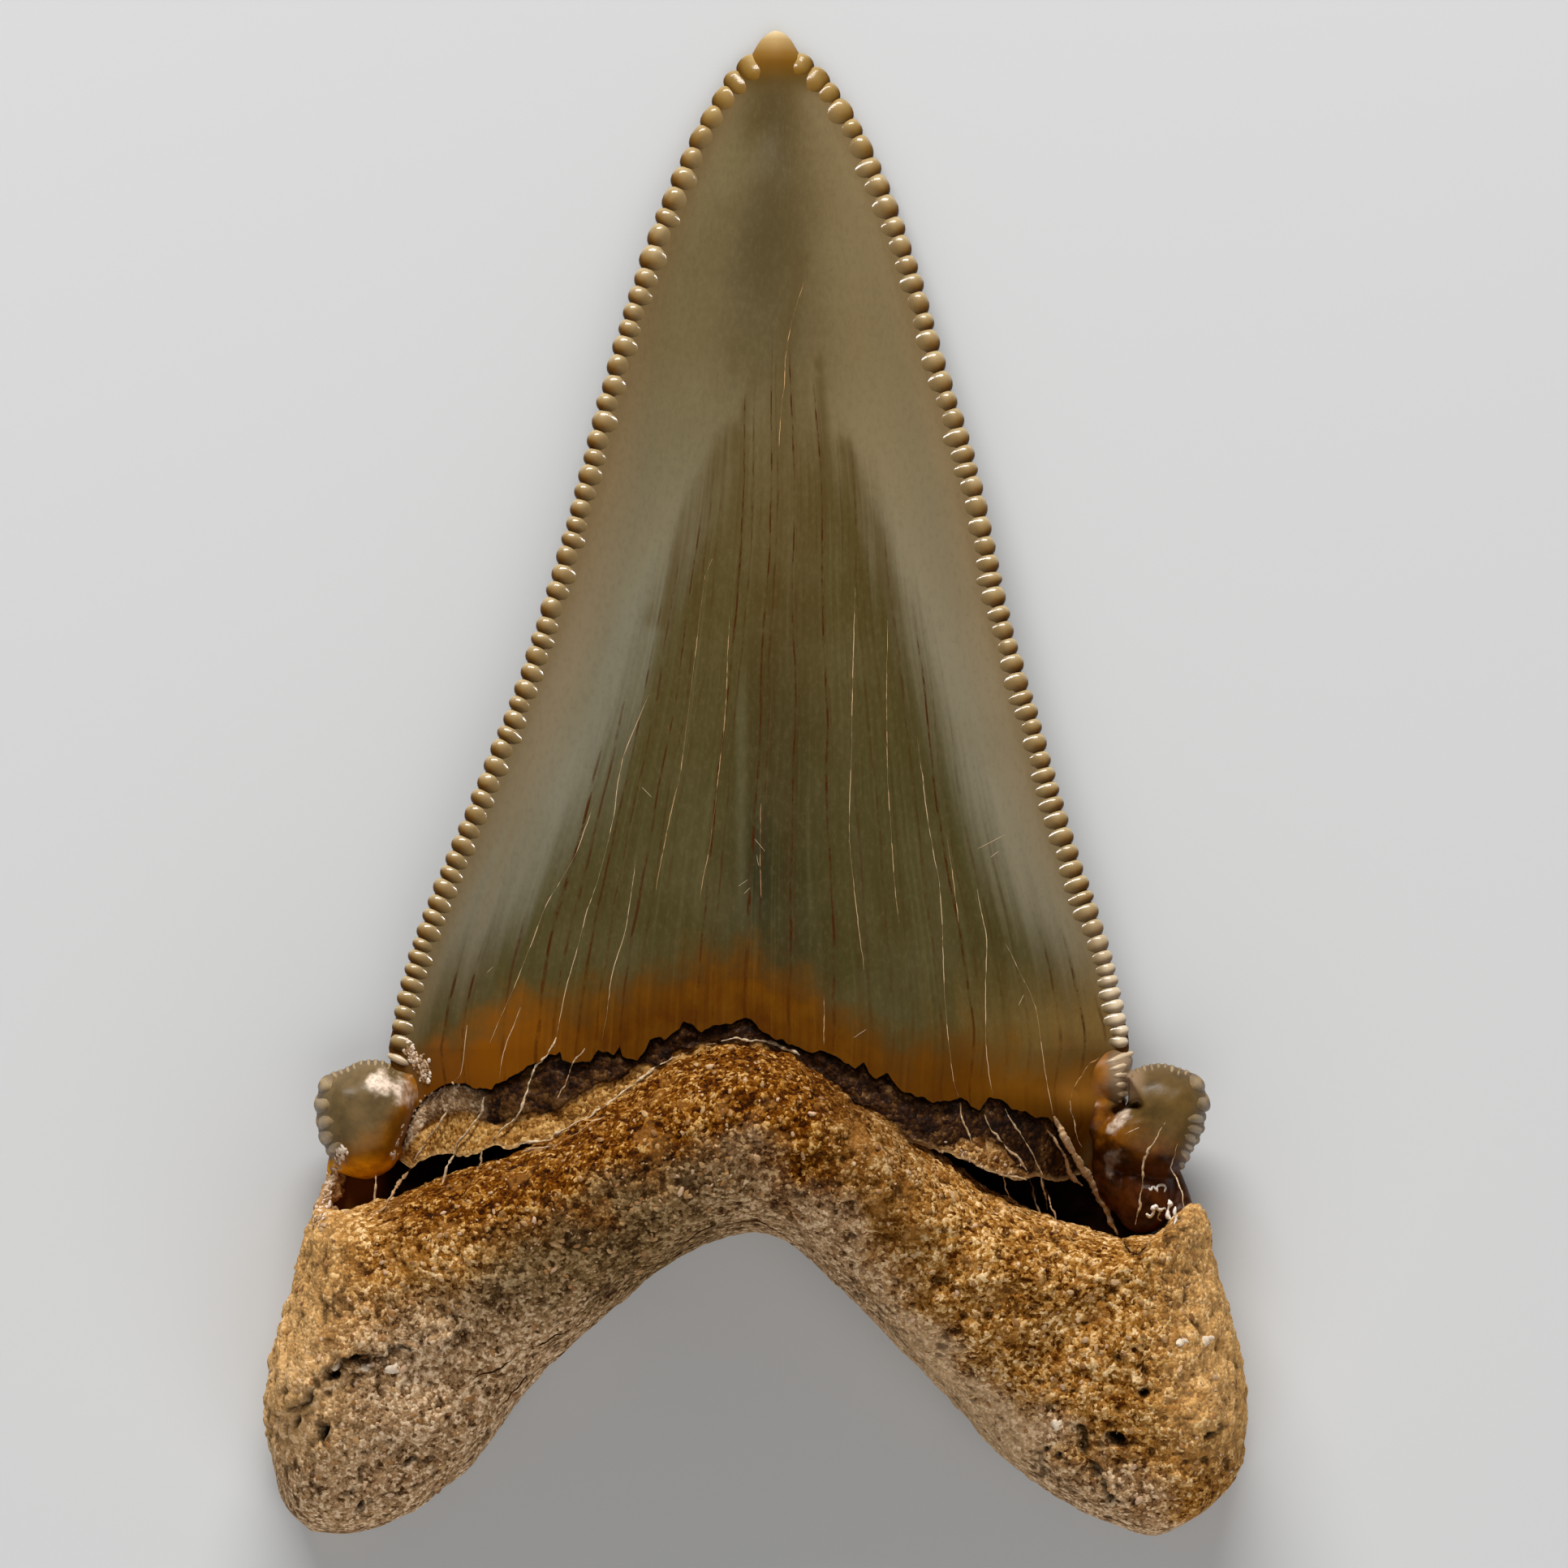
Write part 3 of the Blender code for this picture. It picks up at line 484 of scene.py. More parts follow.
def spline_at(points, t):
    """Points at parameters t, one unit a span, of a Catmull-Rom curve."""
    points = np.array(points, float)
    if points.ndim == 1:
        points = points[:, None]
    padded = np.vstack([2 * points[:1] - points[1:2], points, 2 * points[-1:] - points[-2:-1]])
    i = np.minimum(np.asarray(t).astype(int), len(points) - 2)
    f = (np.asarray(t) - i)[:, None]
    p0, p1, p2, p3 = (padded[i + k] for k in range(4))
    square, cube = 2 * p0 - 5 * p1 + 4 * p2 - p3, 3 * p1 - p0 - 3 * p2 + p3
    return 0.5 * (2 * p1 + (p2 - p0) * f + square * f**2 + cube * f**3)


class Path:
    """A plan curve that is read by the distance along it."""

    def __init__(self, points, smooth=True):
        if smooth:
            points = spline_at(points, np.linspace(0, len(points) - 1, (len(points) - 1) * 40 + 1))
        self.points = np.array(points, float)
        steps = np.linalg.norm(np.diff(self.points, axis=0), axis=1)
        self.along = np.concatenate([[0.0], np.cumsum(steps)])
        self.length = self.along[-1]

    def at(self, distance):
        return np.stack([np.interp(distance, self.along, column) for column in self.points.T], axis=-1)

    def heading(self, distance):
        ahead = self.at(np.asarray(distance) + 0.15) - self.at(np.asarray(distance) - 0.15)
        return ahead / np.maximum(np.linalg.norm(ahead, axis=-1, keepdims=True), 1e-9)


def line_distance(places, line):
    """Distance from each plan place to a broken line."""
    line = np.array(line, float)
    best = np.full(len(places), 1e9)
    for a, b in zip(line, line[1:]):
        arm = b - a
        t = np.clip(((places - a) @ arm) / (arm @ arm), 0, 1)
        best = np.minimum(best, np.linalg.norm(places - a - t[:, None] * arm, axis=1))
    return best


def above_line(x, y, line):
    """How far each place lies above a broken line that runs in x. Negative below it."""
    line = np.array(line, float)
    return y - np.interp(x, line[:, 0], line[:, 1])


def swell(table, from_tip):
    """Greatest height of a blade face, from its start, growth and reach."""
    start, growth, reach = table
    return start + growth * (1 - np.exp(-np.maximum(from_tip, 0) / reach))


def blade_levels(from_tip):
    """Greatest heights of both faces, their fullness and the height of the cutting edge."""
    inner, outer = swell(INNER_SWELL, from_tip), swell(OUTER_SWELL, from_tip)
    fullness = FULLNESS_AT_TIP + FULLNESS_GAIN * (from_tip / FULLNESS_REACH) ** 2
    bowed = np.clip((from_tip - BOW_START) / BOW_LENGTH, 0, 1)
    return inner, outer, fullness, outer + BOW_HEIGHT * np.sin(np.pi * bowed)


def face_rise(distance, width, greatest, fullness):
    """Height of a blade face over the cutting edge, thinned a little towards that edge."""
    rise = greatest * (1 - np.abs(1 - 2 * distance / width) ** fullness)
    near = np.minimum(distance, width - distance)
    flare = EDGE_FLARE * eased(1.5, 9, width)
    return rise * (1 - flare * np.exp(-((near / EDGE_FLARE_WIDTH) ** 2)))


def notch_places(length, seed):
    """Distances along an edge at which the notches between the beads lie."""
    pitches = np.linspace(PITCH_AT_TIP, PITCH_AT_BASE, BEAD_COUNT)
    cells = np.stack([np.arange(BEAD_COUNT)] * 3, axis=-1)
    pitches = pitches * (1 + PITCH_SPREAD * lattice(cells, seed))
    pitches *= (length - TIP_CAP) / pitches.sum()
    return TIP_CAP + np.concatenate([[0.0], np.cumsum(pitches)])


LEFT_PATH, RIGHT_PATH = Path(LEFT_EDGE), Path(RIGHT_EDGE)
LEFT_NOTCHES = notch_places(LEFT_PATH.length, SEED)
RIGHT_NOTCHES = notch_places(RIGHT_PATH.length, SEED + 1)


def new_mesh_object(name, vertices, faces, attributes=None, sharp=None):
    """A smooth mesh from places in millimetres, with its faces turned outwards."""
    mesh = bpy.data.meshes.new(name)
    mesh.from_pydata((np.asarray(vertices) * MM).tolist(), [], faces)
    mesh.update()
    made = bpy.data.objects.new(name, mesh)
    bpy.context.scene.collection.objects.link(made)
    turn_outwards(made)
    mesh.shade_smooth()
    if sharp:
        mesh.set_sharp_from_angle(angle=math.radians(sharp))
    add_values(made, attributes or {})
    return made


def turn_outwards(made):
    """Turn all faces of a closed mesh outwards."""
    bm = bmesh.new()
    bm.from_mesh(made.data)
    bmesh.ops.recalc_face_normals(bm, faces=bm.faces)
    bm.to_mesh(made.data)
    bm.free()


def add_values(made, attributes):
    """Store values at each vertex, for the materials."""
    for key, values in attributes.items():
        layer = made.data.attributes.new(key, "FLOAT", "POINT")
        layer.data.foreach_set("value", np.asarray(values, np.float32))


def corners(made):
    """Places of an object's vertices, in millimetres."""
    places = np.empty(len(made.data.vertices) * 3)
    made.data.vertices.foreach_get("co", places)
    return places.reshape(-1, 3) / MM


def ring_faces(rows, count):
    """Four-sided faces between rings of points that follow each other."""
    faces = []
    for i in range(rows - 1):
        low, high = i * count, (i + 1) * count
        for j in range(count):
            k = (j + 1) % count
            faces.append((low + j, low + k, high + k, high + j))
    return faces


def loft(rings, start=None, end=None):
    """Vertices and faces of a closed body through rings.

    An end is closed by a point where one is given, or else straight across.
    """
    rings = np.asarray(rings, float)
    rows, count = rings.shape[:2]
    vertices = [rings.reshape(-1, 3)]
    faces = ring_faces(rows, count)
    for pole, first in ((start, 0), (end, (rows - 1) * count)):
        if pole is None:
            last = first + count - 1
            half = range(count // 2 - 1)
            faces.extend((first + j, first + j + 1, last - 1 - j, last - j) for j in half)
        else:
            top = sum(len(part) for part in vertices)
            vertices.append(np.array([pole], float))
            faces.extend((first + j, first + (j + 1) % count, top) for j in range(count))
    return np.vstack(vertices), faces


def lofted(name, rings, start=None, end=None, **more):
    """An object of one closed body through rings."""
    vertices, faces = loft(rings, start, end)
    return new_mesh_object(name, vertices, faces, **more)


def crown_rows():
    """Both ends of every row of the blade from the tip down, and how far each row's middle is raised."""
    share = np.linspace(0, 1, BLADE_ROWS + 1)[1:] ** 1.3
    foot_t = np.linspace(0, 3, FOOT_ROWS + 1)[1:]
    ends = []
    for path, foot, turn in ((LEFT_PATH, FOOT_LEFT, 1), (RIGHT_PATH, FOOT_RIGHT, -1)):
        along = path.length * share
        heading = path.heading(along)
        inward = turn * np.column_stack([-heading[:, 1], heading[:, 0]])
        inset = EDGE_INSET * eased(0.8, 2.0, along) * eased(1.0, 0.95, share)
        ends.append(np.vstack([path.at(along) + inward * inset[:, None], spline_at(foot, foot_t)]))
    arch = np.concatenate([np.zeros(len(share)), np.interp(foot_t, range(4), FOOT_ARCH)])
    return ends[0], ends[1], arch


def rim_cutter():
    """A block below the enamel's rim, whose upper side in plan follows it with small chips."""
    line = Path(ENAMEL_RIM, smooth=False)
    along = np.linspace(0, line.length, int(line.length / 0.12))
    places = line.at(along)
    flat = level(*places.T)
    places[1:-1, 1] += 0.07 * fractal(flat, 0.3, SEED + 30, 2)[1:-1]
    bm = bmesh.new()
    low, high = RIM_CUTTER_Z
    outline = [*places.tolist(), *RIM_CUTTER_TAIL]
    face = bm.faces.new([bm.verts.new((x * MM, y * MM, low * MM)) for x, y in outline])
    raised = bmesh.ops.extrude_face_region(bm, geom=[face])["geom"]
    lifted = [item for item in raised if isinstance(item, bmesh.types.BMVert)]
    bmesh.ops.translate(bm, vec=(0, 0, (high - low) * MM), verts=lifted)
    bmesh.ops.recalc_face_normals(bm, faces=bm.faces)
    bmesh.ops.triangulate(bm, faces=bm.faces)
    mesh = bpy.data.meshes.new("rim cutter")
    bm.to_mesh(mesh)
    bm.free()
    cutter = bpy.data.objects.new("rim cutter", mesh)
    bpy.context.scene.collection.objects.link(cutter)
    return cutter


def make_crown():
    """The enamel of the blade with its ragged lower rim. Its edges carry the serrations."""
    left, right, arch = crown_rows()
    width = np.linalg.norm(right - left, axis=1)
    from_tip = LEFT_EDGE[0][1] - (left[:, 1] + right[:, 1]) / 2
    inner, outer, fullness, edge_z = (row[:, None] for row in blade_levels(from_tip))
    small = np.minimum(1.0, 0.34 * width / EDGE_COLUMNS[-1])[:, None]
    width = width[:, None]

    def face(edge_columns, middle_count, upward):
        near = np.array(edge_columns) * small
        inside = near[:, -1:] + (width - 2 * near[:, -1:]) * np.linspace(0, 1, middle_count + 2)[1:-1]
        distance = np.hstack([near, inside, width - near[:, ::-1]])
        share = distance / width
        gap = np.minimum(distance, width - distance)
        place = left[:, None, :] + (right - left)[:, None, :] * share[:, :, None]
        x = place[..., 0]
        y = place[..., 1] + arch[:, None] * np.sin(np.pi * share)
        half = EDGE_HALF_HEIGHT * np.minimum(1, width / 3)
        nose = half * np.sqrt(np.clip(1 - (1 - np.minimum(gap / (EDGE_NOSE * small), 1)) ** 2, 0, 1))
        rise = face_rise(distance, width, inner if upward else outer, fullness)
        depth = np.maximum(from_tip, 0)[:, None]
        cap = np.sqrt(1 - (1 - np.minimum(depth / TIP_CAP, 1)) ** 2) * np.sqrt(1 - (2 * share - 1) ** 2)
        cap *= TIP_HALF_HEIGHT * eased(3.4, 1.2, depth)
        body = (nose**2.5 + np.maximum(rise, 0) ** 2.5 + cap**2.5) ** 0.4
        waves = 0.03 * fractal(level(x, y), 3.5, SEED + 20, 2) * eased(1.0, 4.0, gap)
        if upward:
            dip = 0.14 * np.exp(-(((x + 0.55) / 0.8) ** 2)) * eased(14, 2, y)
            return x, y, edge_z + body + waves - dip
        return x, y, edge_z - body

    top = np.stack(face(EDGE_COLUMNS, MIDDLE_COLUMNS, True), axis=-1)
    under = face((0.0,) + UNDER_EDGE_COLUMNS, UNDER_MIDDLE_COLUMNS, False)
    under = np.stack(under, axis=-1)[:, ::-1][:, 1:-1]
    rings = np.concatenate([top, under], axis=1)
    rings[..., 2] = np.maximum(rings[..., 2], 0.05)
    tip = (*LEFT_EDGE[0], OUTER_SWELL[0])
    crown = lofted("crown", rings, tip, (-0.55, -16.1, 4.0))

    cutter = rim_cutter()
    cut = crown.modifiers.new("rim", "BOOLEAN")
    cut.operation = "DIFFERENCE"
    cut.object = cutter
    cut.solver = "MANIFOLD"
    apply_modifiers(crown)
    bpy.data.objects.remove(cutter)
    crown.data.shade_smooth()
    crown.data.set_sharp_from_angle(angle=math.radians(55))

    x, y = corners(crown).T[:2]
    flat = level(x, y)
    wisps = [strength * near_line(flat, line, wide, 0.12, SEED + 31) for wide, strength, line in WISPS]
    add_values(crown, {**edge_masks(x, y), "wisp": np.max(wisps, axis=0)})
    return crown


def apply_modifiers(made):
    """Give an object the mesh that its modifiers make of it."""
    graph = bpy.context.evaluated_depsgraph_get()
    mesh = bpy.data.meshes.new_from_object(made.evaluated_get(graph))
    made.modifiers.clear()
    made.data = mesh


def edge_masks(x, y):
    """Plan masks of the enamel, which its material turns into colour."""
    rows_y = np.linspace(-20, 35.2, 700)
    ends = []
    for path, foot in ((LEFT_PATH, FOOT_LEFT), (RIGHT_PATH, FOOT_RIGHT)):
        foot = np.array(foot)
        line = np.vstack([path.points, foot[1:], [foot[-1, 0], -24.0]])
        along = np.concatenate([path.along, path.length + (path.points[-1, 1] - foot[1:, 1]), [80.0]])
        order = np.argsort(line[:, 1])
        ends.append([np.interp(rows_y, line[order, 1], values[order]) for values in (line[:, 0], along)])
    xl, xr = (np.interp(y, rows_y, end[0]) for end in ends)
    al, ar = (np.interp(y, rows_y, end[1]) for end in ends)
    width = np.maximum(xr - xl, 0.3)
    share = np.clip((x - xl) / width, 0, 1)
    on_left = share < 0.5
    gap = np.minimum(x - xl, xr - x)
    heading = np.where(
        on_left[:, None], LEFT_PATH.heading(np.minimum(al, LEFT_PATH.length)),
        RIGHT_PATH.heading(np.minimum(ar, RIGHT_PATH.length)),
    )
    return {"down": LEFT_EDGE[0][1] - y, "across": share, "edge": gap * np.abs(heading[:, 1])}


def blade_faces(x, y):
    """Heights of the blade's inner and outer face at plan places of its lower part."""
    xl = np.interp(-y, [8, 10, 12.4, 13.9, 15.8, 17.8], [-15.9, -16.6, -17.0, -16.9, -16.6, -16.7])
    xr = np.interp(-y, [8, 10, 12.4, 14.2, 15.9, 18.6], [16.4, 16.9, 17.2, 17.0, 17.0, 16.0])
    from_tip = LEFT_EDGE[0][1] - y
    inner, outer, fullness, edge_z = blade_levels(from_tip)
    width = xr - xl
    distance = np.clip(x - xl, 0, width)
    above, below = (face_rise(distance, width, greatest, fullness) for greatest in (inner, outer))
    return edge_z + above, edge_z - below


def make_dentine():
    """The bare dentine below the enamel: tan, with the remains of a dark rough layer."""
    rows, columns = 90, 240
    v = np.linspace(0, 1, rows)[:, None]
    c = np.linspace(0, 1, columns)[None, :]
    end_x = -16.95 + c * 32.35
    flat = np.stack([end_x[0], end_x[0] * 0, end_x[0] * 0], axis=-1)
    end_y = np.interp(end_x, *np.array(DENTINE_BORDER).T)
    end_y = end_y + 0.09 * fractal(flat, 0.45, SEED + 40, 3)[None, :]
    x = (-14.9 + c * 29.3) * (1 - v) + end_x * v
    y = -9.0 * (1 - v) + end_y * v
    where = level(x, y)
    layer = above_line(x, y, DARK_LAYER_BORDER) + 0.25 * fractal(where, 1.1, SEED + 41)
    dark = eased(-0.08, 0.1, layer)
    rim = line_distance(np.stack([x.ravel(), y.ravel()], axis=-1), ENAMEL_RIM).reshape(x.shape)
    rim *= np.where(above_line(x, y, ENAMEL_RIM) > 0, -1, 1)
    top, bottom = blade_faces(x, y)
    z = top - RIM_STEP + 0.17 * dark + 0.5 * eased(-14.8, -16.4, x) * eased(-13.5, -15.0, y)
    z += (0.05 + 0.06 * dark) * fractal(where, 0.9, SEED + 44, 4)
    z -= 0.16 * np.exp(-((rim / 0.14) ** 2))
    z -= 0.12 * eased(0.3, 0.75, bumps(where, 0.55, SEED + 48)) * dark
    z -= 0.7 * eased(0.1, 0.6, rim * -1)
    under = np.maximum(1.6, np.minimum(bottom + 0.15, z - 0.08))
    under = np.stack([x, y, under], axis=-1)[:, ::-1]
    rings = np.concatenate([np.stack([x, y, z], axis=-1), under], axis=1)
    # The distance to the rim also places the painted shadow under the enamel's rim, in the material
    masks = {"dark": layer, "rim": rim, "border": (y - end_y)}
    spread = {key: np.concatenate([m, m[:, ::-1]], axis=1).ravel() for key, m in masks.items()}
    return lofted("bare_dentine", rings, attributes=spread, sharp=60)


def root_section(t):
    """Upper and lower outlines of the root across its arm at stations t, evenly spaced.

    Each point is (x, y, z, share of the arm's half width).
    """
    crown_side = spline_at(ROOT_CROWN_SIDE, t)
    notch_side = spline_at(ROOT_NOTCH_SIDE, t)
    top = spline_at(ROOT_TOP, t)[:, 0]
    middle, reach = (crown_side + notch_side) / 2, (notch_side - crown_side) / 2
    outlines = []
    for count, sign in ((ROOT_UPPER, 1), (ROOT_LOWER, -1)):
        angle = np.linspace(0, np.pi, 320)
        fine_across = sign * fuller(np.cos(angle), ROOT_SQUARENESS)
        fine_height = np.abs(np.sin(angle)) ** ROOT_SQUARENESS
        across, height = np.empty((len(t), count)), np.empty((len(t), count))
        for i in range(len(t)):
            tall = (top[i] - ROOT_WAIST_Z) if sign > 0 else (ROOT_WAIST_Z + ROOT_SINK)
            w = fine_across * np.linalg.norm(reach[i])
            z = fine_height * tall
            along = np.concatenate([[0], np.cumsum(np.hypot(np.diff(w), np.diff(z)))])
            goal = np.linspace(0, along[-1], count + 1)[:-1]
            across[i] = np.interp(goal, along, fine_across)
            height[i] = np.interp(goal, along, fine_height)
        x = middle[:, :1] + reach[:, :1] * across
        y = middle[:, 1:] + reach[:, 1:] * across
        if sign > 0:
            lean = 1 - ROOT_CREST_SHIFT * across * (1 - np.abs(across))
            z = ROOT_WAIST_Z + (top[:, None] - ROOT_WAIST_Z) * lean * height
            s = height ** (1 / ROOT_SQUARENESS)
            for size, tall in ROOT_LUMPS:
                place = np.stack([x, y, z], axis=-1).reshape(-1, 3) / size
                lump = np.fromiter((perlin.noise(Vector(p)) for p in place.tolist()), float, len(place))
                z = z + s * tall * lump.reshape(z.shape)
        else:
            z = ROOT_WAIST_Z - (ROOT_WAIST_Z + ROOT_SINK) * height
        outlines.append(np.stack([x, y, z, across], axis=-1))
    return np.concatenate(outlines, axis=1)


def grid_normals(points):
    """Outward directions on rings of points."""
    along = np.gradient(points, axis=0)
    around = np.roll(points, -1, axis=1) - np.roll(points, 1, axis=1)
    normal = np.cross(along, around)
    normal /= np.maximum(np.linalg.norm(normal, axis=-1, keepdims=True), 1e-9)
    middle = points.mean(axis=1, keepdims=True)
    if (normal * (points - middle)).sum() < 0:
        normal = -normal
    return normal


def make_root():
    """The porous two-lobed root with its grain, pits, ledges and grooves."""
    fine_t = np.linspace(0.04, len(ROOT_TOP) - 1.04, 1200)
    spine = (spline_at(ROOT_CROWN_SIDE, fine_t) + spline_at(ROOT_NOTCH_SIDE, fine_t)) / 2
    length = np.concatenate([[0], np.cumsum(np.linalg.norm(np.diff(spine, axis=0), axis=1))])
    goal = np.linspace(0, length[-1], ROOT_SECTIONS)
    t = np.interp(goal, length, fine_t)
    section = root_section(t)
    points, share = section[..., :3].copy(), section[..., 3]
    upper = np.zeros(share.shape)
    upper[:, :ROOT_UPPER] = 1.0

    place = points[..., :2].reshape(-1, 2)
    pit = np.zeros(len(place))
    depth = np.zeros(len(place))
    warp = 0.2 * fractal(points.reshape(-1, 3), 0.5, SEED + 50, 3)
    for x, y, long, wide, turn, deep in ROOT_PITS:
        c, s = math.cos(math.radians(turn)), math.sin(math.radians(turn))
        dx, dy = place[:, 0] - x, place[:, 1] - y
        away = np.hypot((dx * c + dy * s) / long, (dy * c - dx * s) / wide) + 2 * warp
        hole = 1 - eased(0.45, 1.25, away)
        pit, depth = np.maximum(pit, hole), np.maximum(depth, hole * deep)
    for deep, wide, line in ROOT_GROOVES:
        away = line_distance(place, line) / wide + 3 * warp
        hole = 1 - eased(0.2, 1.4, away)
        pit, depth = np.maximum(pit, 0.85 * hole), np.maximum(depth, hole * deep)
    pit, depth = pit.reshape(share.shape) * upper, depth.reshape(share.shape) * upper

    x, y = points[..., 0].copy(), points[..., 1].copy()
    zone = above_line(x, y, ROOT_ZONE_BORDER) * 0.8
    crumbly = eased(-1.5, 1.5, zone + 1.5 * bumps(points, 3.0, SEED + 59))
    lumps = fractal(points, 1.5, SEED + 63, 3)
    grain, _ = pebbles(points, 0.34, SEED + 60)
    shifted = points + 0.15 * bumps(points, 0.7, SEED + 61)[..., None]
    crumb, crumb_value = pebbles(shifted, 0.75, SEED + 67)
    pores = eased(0.3, 0.75, bumps(points, 0.4, SEED + 66))
    ledge_gap = above_line(x, y, ROOT_LEDGE)
    ragged = ledge_gap + 0.5 * fractal(points, 0.8, SEED + 68, 3)
    left_lobe = eased(-11.5, -14.0, x)
    ledge = 0.45 * eased(-0.08, 0.12, ragged) * eased(5.0, 1.0, ragged) * left_lobe * upper
    ledge *= eased(-0.97, -0.8, share)
    near_ledge = np.exp(-((ledge_gap / 1.3) ** 2)) * left_lobe
    cleft = np.exp(-(((ragged + 0.1) / 0.16) ** 2)) * eased(-0.15, 0.35, bumps(points, 1.1, SEED + 69))
    cleft = cleft * left_lobe * upper
    pit, depth = np.maximum(pit, 0.9 * cleft), np.maximum(depth, 0.35 * cleft)
    rough = np.maximum(crumbly, near_ledge)
    move = 0.1 * lumps + (0.05 + 0.02 * rough) * grain - 0.1 * pores * (0.3 + 0.7 * rough)
    move += rough * (0.14 + 0.14 * near_ledge) * (crumb + 0.6 * crumb_value) + ledge - 0.16 - depth
    lip = np.exp(-(((share + 0.93) / 0.05) ** 2)) * upper
    move += 0.1 * lip * (0.6 + 0.4 * lumps)
    to_end = np.minimum(np.arange(len(t)), np.arange(len(t))[::-1])
    points += grid_normals(points) * (move * eased(0, 10, to_end)[:, None])[..., None]
    points[..., 2] = np.maximum(points[..., 2], 0.0)

    x, y = points[..., 0], points[..., 1]
    masks = {
        "zone": zone,
        "pit": pit,
        "relief": 0.3 + 0.3 * grain + 0.2 * lumps + 0.2 * rough * crumb - 0.45 * pores,
        "crumb": rough * crumb_value * crumb,
        "dusky": eased(-18.5, -16.0, x) * eased(7.0, 2.5, x) * eased(-22.5, -20.0, y),
        "lobe": eased(-22.0, -27.0, y) * (x < 0),
    }
    poles = [points[i].mean(axis=0) for i in (0, -1)]
    ends = {key: np.append(mask, [mask[0, 0], mask[-1, -1]]) for key, mask in masks.items()}
    return lofted("root", points, *poles, attributes=ends)


def make_hollow_floor():
    """The floor at the bottom of the two hollows, painted nearly black as shade by its material."""
    table = spline_at(BRIDGE, np.linspace(0, len(BRIDGE) - 1, 150))
    count = 44
    angle = 2 * np.pi * (np.arange(count) + 0.5) / count
    c, s = fuller(np.cos(angle), BRIDGE_SQUARENESS), fuller(np.sin(angle), BRIDGE_SQUARENESS)
    x, upper, lower = (table[:, k : k + 1] for k in range(3))
    top = np.interp(x, np.array(BRIDGE)[:, 0], np.array(BRIDGE)[:, 3])
    bottom = BRIDGE_BOTTOM_Z + 1.0 * eased(14.5, 18.5, np.abs(x))
    y = (upper + lower) / 2 + (upper - lower) / 2 * c
    z = (top + bottom) / 2 + (top - bottom) / 2 * s
    rings = np.stack([x + 0 * c, y, z], axis=-1)
    rings[..., 2] += 0.15 * fractal(rings, 0.9, SEED + 70)
    ends = [(end, -19.5, 2.0) for end in (BRIDGE[0][0] - 0.3, BRIDGE[-1][0] + 0.3)]
    return lofted("hollow_floor", rings, *ends)


def dome(cusp, roundness=3.2):
    """A domed body over a plan outline."""
    halves = [Path(cusp[key]) for key in ("free", "base")]
    outline = np.vstack([half.at(np.linspace(0, half.length, 60)[:-1]) for half in halves])
    middle = np.array(cusp["middle"])
    low, rim, high = cusp["levels"]
    shares = np.concatenate([[0.3, 0.6, 0.84, 0.95, 1.0], 1 - np.linspace(0, 1, 22)[1:-1] ** 1.5])
    heights = np.concatenate([
        low + (rim - low) * np.array([0, 0.25, 0.55, 0.8, 1.0]),
        rim + (high - rim) * (1 - shares[5:] ** roundness) ** 0.7,
    ])
    rings = [
        np.column_stack([middle + (outline - middle) * share, np.full(len(outline), z)])
        for share, z in zip(shares, heights)
    ]
    return loft(rings, (*middle, low), (*middle, high))


def blob(x, y, z, rx, ry, rz, turn=0.0):
    """An ellipsoid, turned in plan by degrees."""
    angle = 2 * np.pi * np.arange(28) / 28
    c, s = math.cos(math.radians(turn)), math.sin(math.radians(turn))
    rings = []
    for height in np.linspace(-1, 1, 18)[1:-1]:
        wide = math.sqrt(1 - height * height)
        u, v = rx * wide * np.cos(angle), ry * wide * np.sin(angle)
        plan = [x + u * c - v * s, y + u * s + v * c]
        rings.append(np.column_stack([*plan, np.full(28, z + rz * height)]))
    return loft(rings, (x, y, z - rz), (x, y, z + rz))


def chain(points, steps=10):
    """Round bodies along a line of (x, y, z, radius)."""
    line = spline_at(points, np.linspace(0, len(points) - 1, (len(points) - 1) * steps + 1))
    return [blob(x, y, z, r, r, r) for x, y, z, r in line.tolist()]


def skinned(bodies, voxel, smoothing):
    """Vertices and faces of one closed skin over several bodies, smoothed that many times."""
    heap = Heap()
    for places, sides in bodies:
        heap.put_in(places, sides)
    mesh = bpy.data.meshes.new("bodies")
    mesh.from_pydata(np.vstack(heap.vertices).tolist(), [], heap.faces)
    made = bpy.data.objects.new("bodies", mesh)
    bpy.context.scene.collection.objects.link(made)
    turn_outwards(made)
    skin = made.modifiers.new("skin", "REMESH")
    skin.mode = "VOXEL"
    skin.voxel_size = voxel
    calm = made.modifiers.new("calm", "SMOOTH")
    calm.factor = 0.5
    calm.iterations = smoothing
    apply_modifiers(made)
    places = corners(made) * MM
    sides = [tuple(side.vertices) for side in made.data.polygons]
    bpy.data.objects.remove(made)
    return places, sides


def carved(places, line, wide, deep):
    """Places of a skin with a groove pressed into its upper side along a line."""
    away = line_distance(places[:, :2], line)
    places = places.copy()
    places[:, 2] -= deep * np.exp(-((away / wide) ** 2)) * eased(1.5, 3.0, places[:, 2])
    return places


def near_line(places, line, wide, ragged, seed):
    """1 on a line and 0 away from it, with a ragged border."""
    away = line_distance(places[:, :2], line) + ragged * fractal(places, 0.5, seed, 3)
    return eased(wide, 0.1 * wide, away)


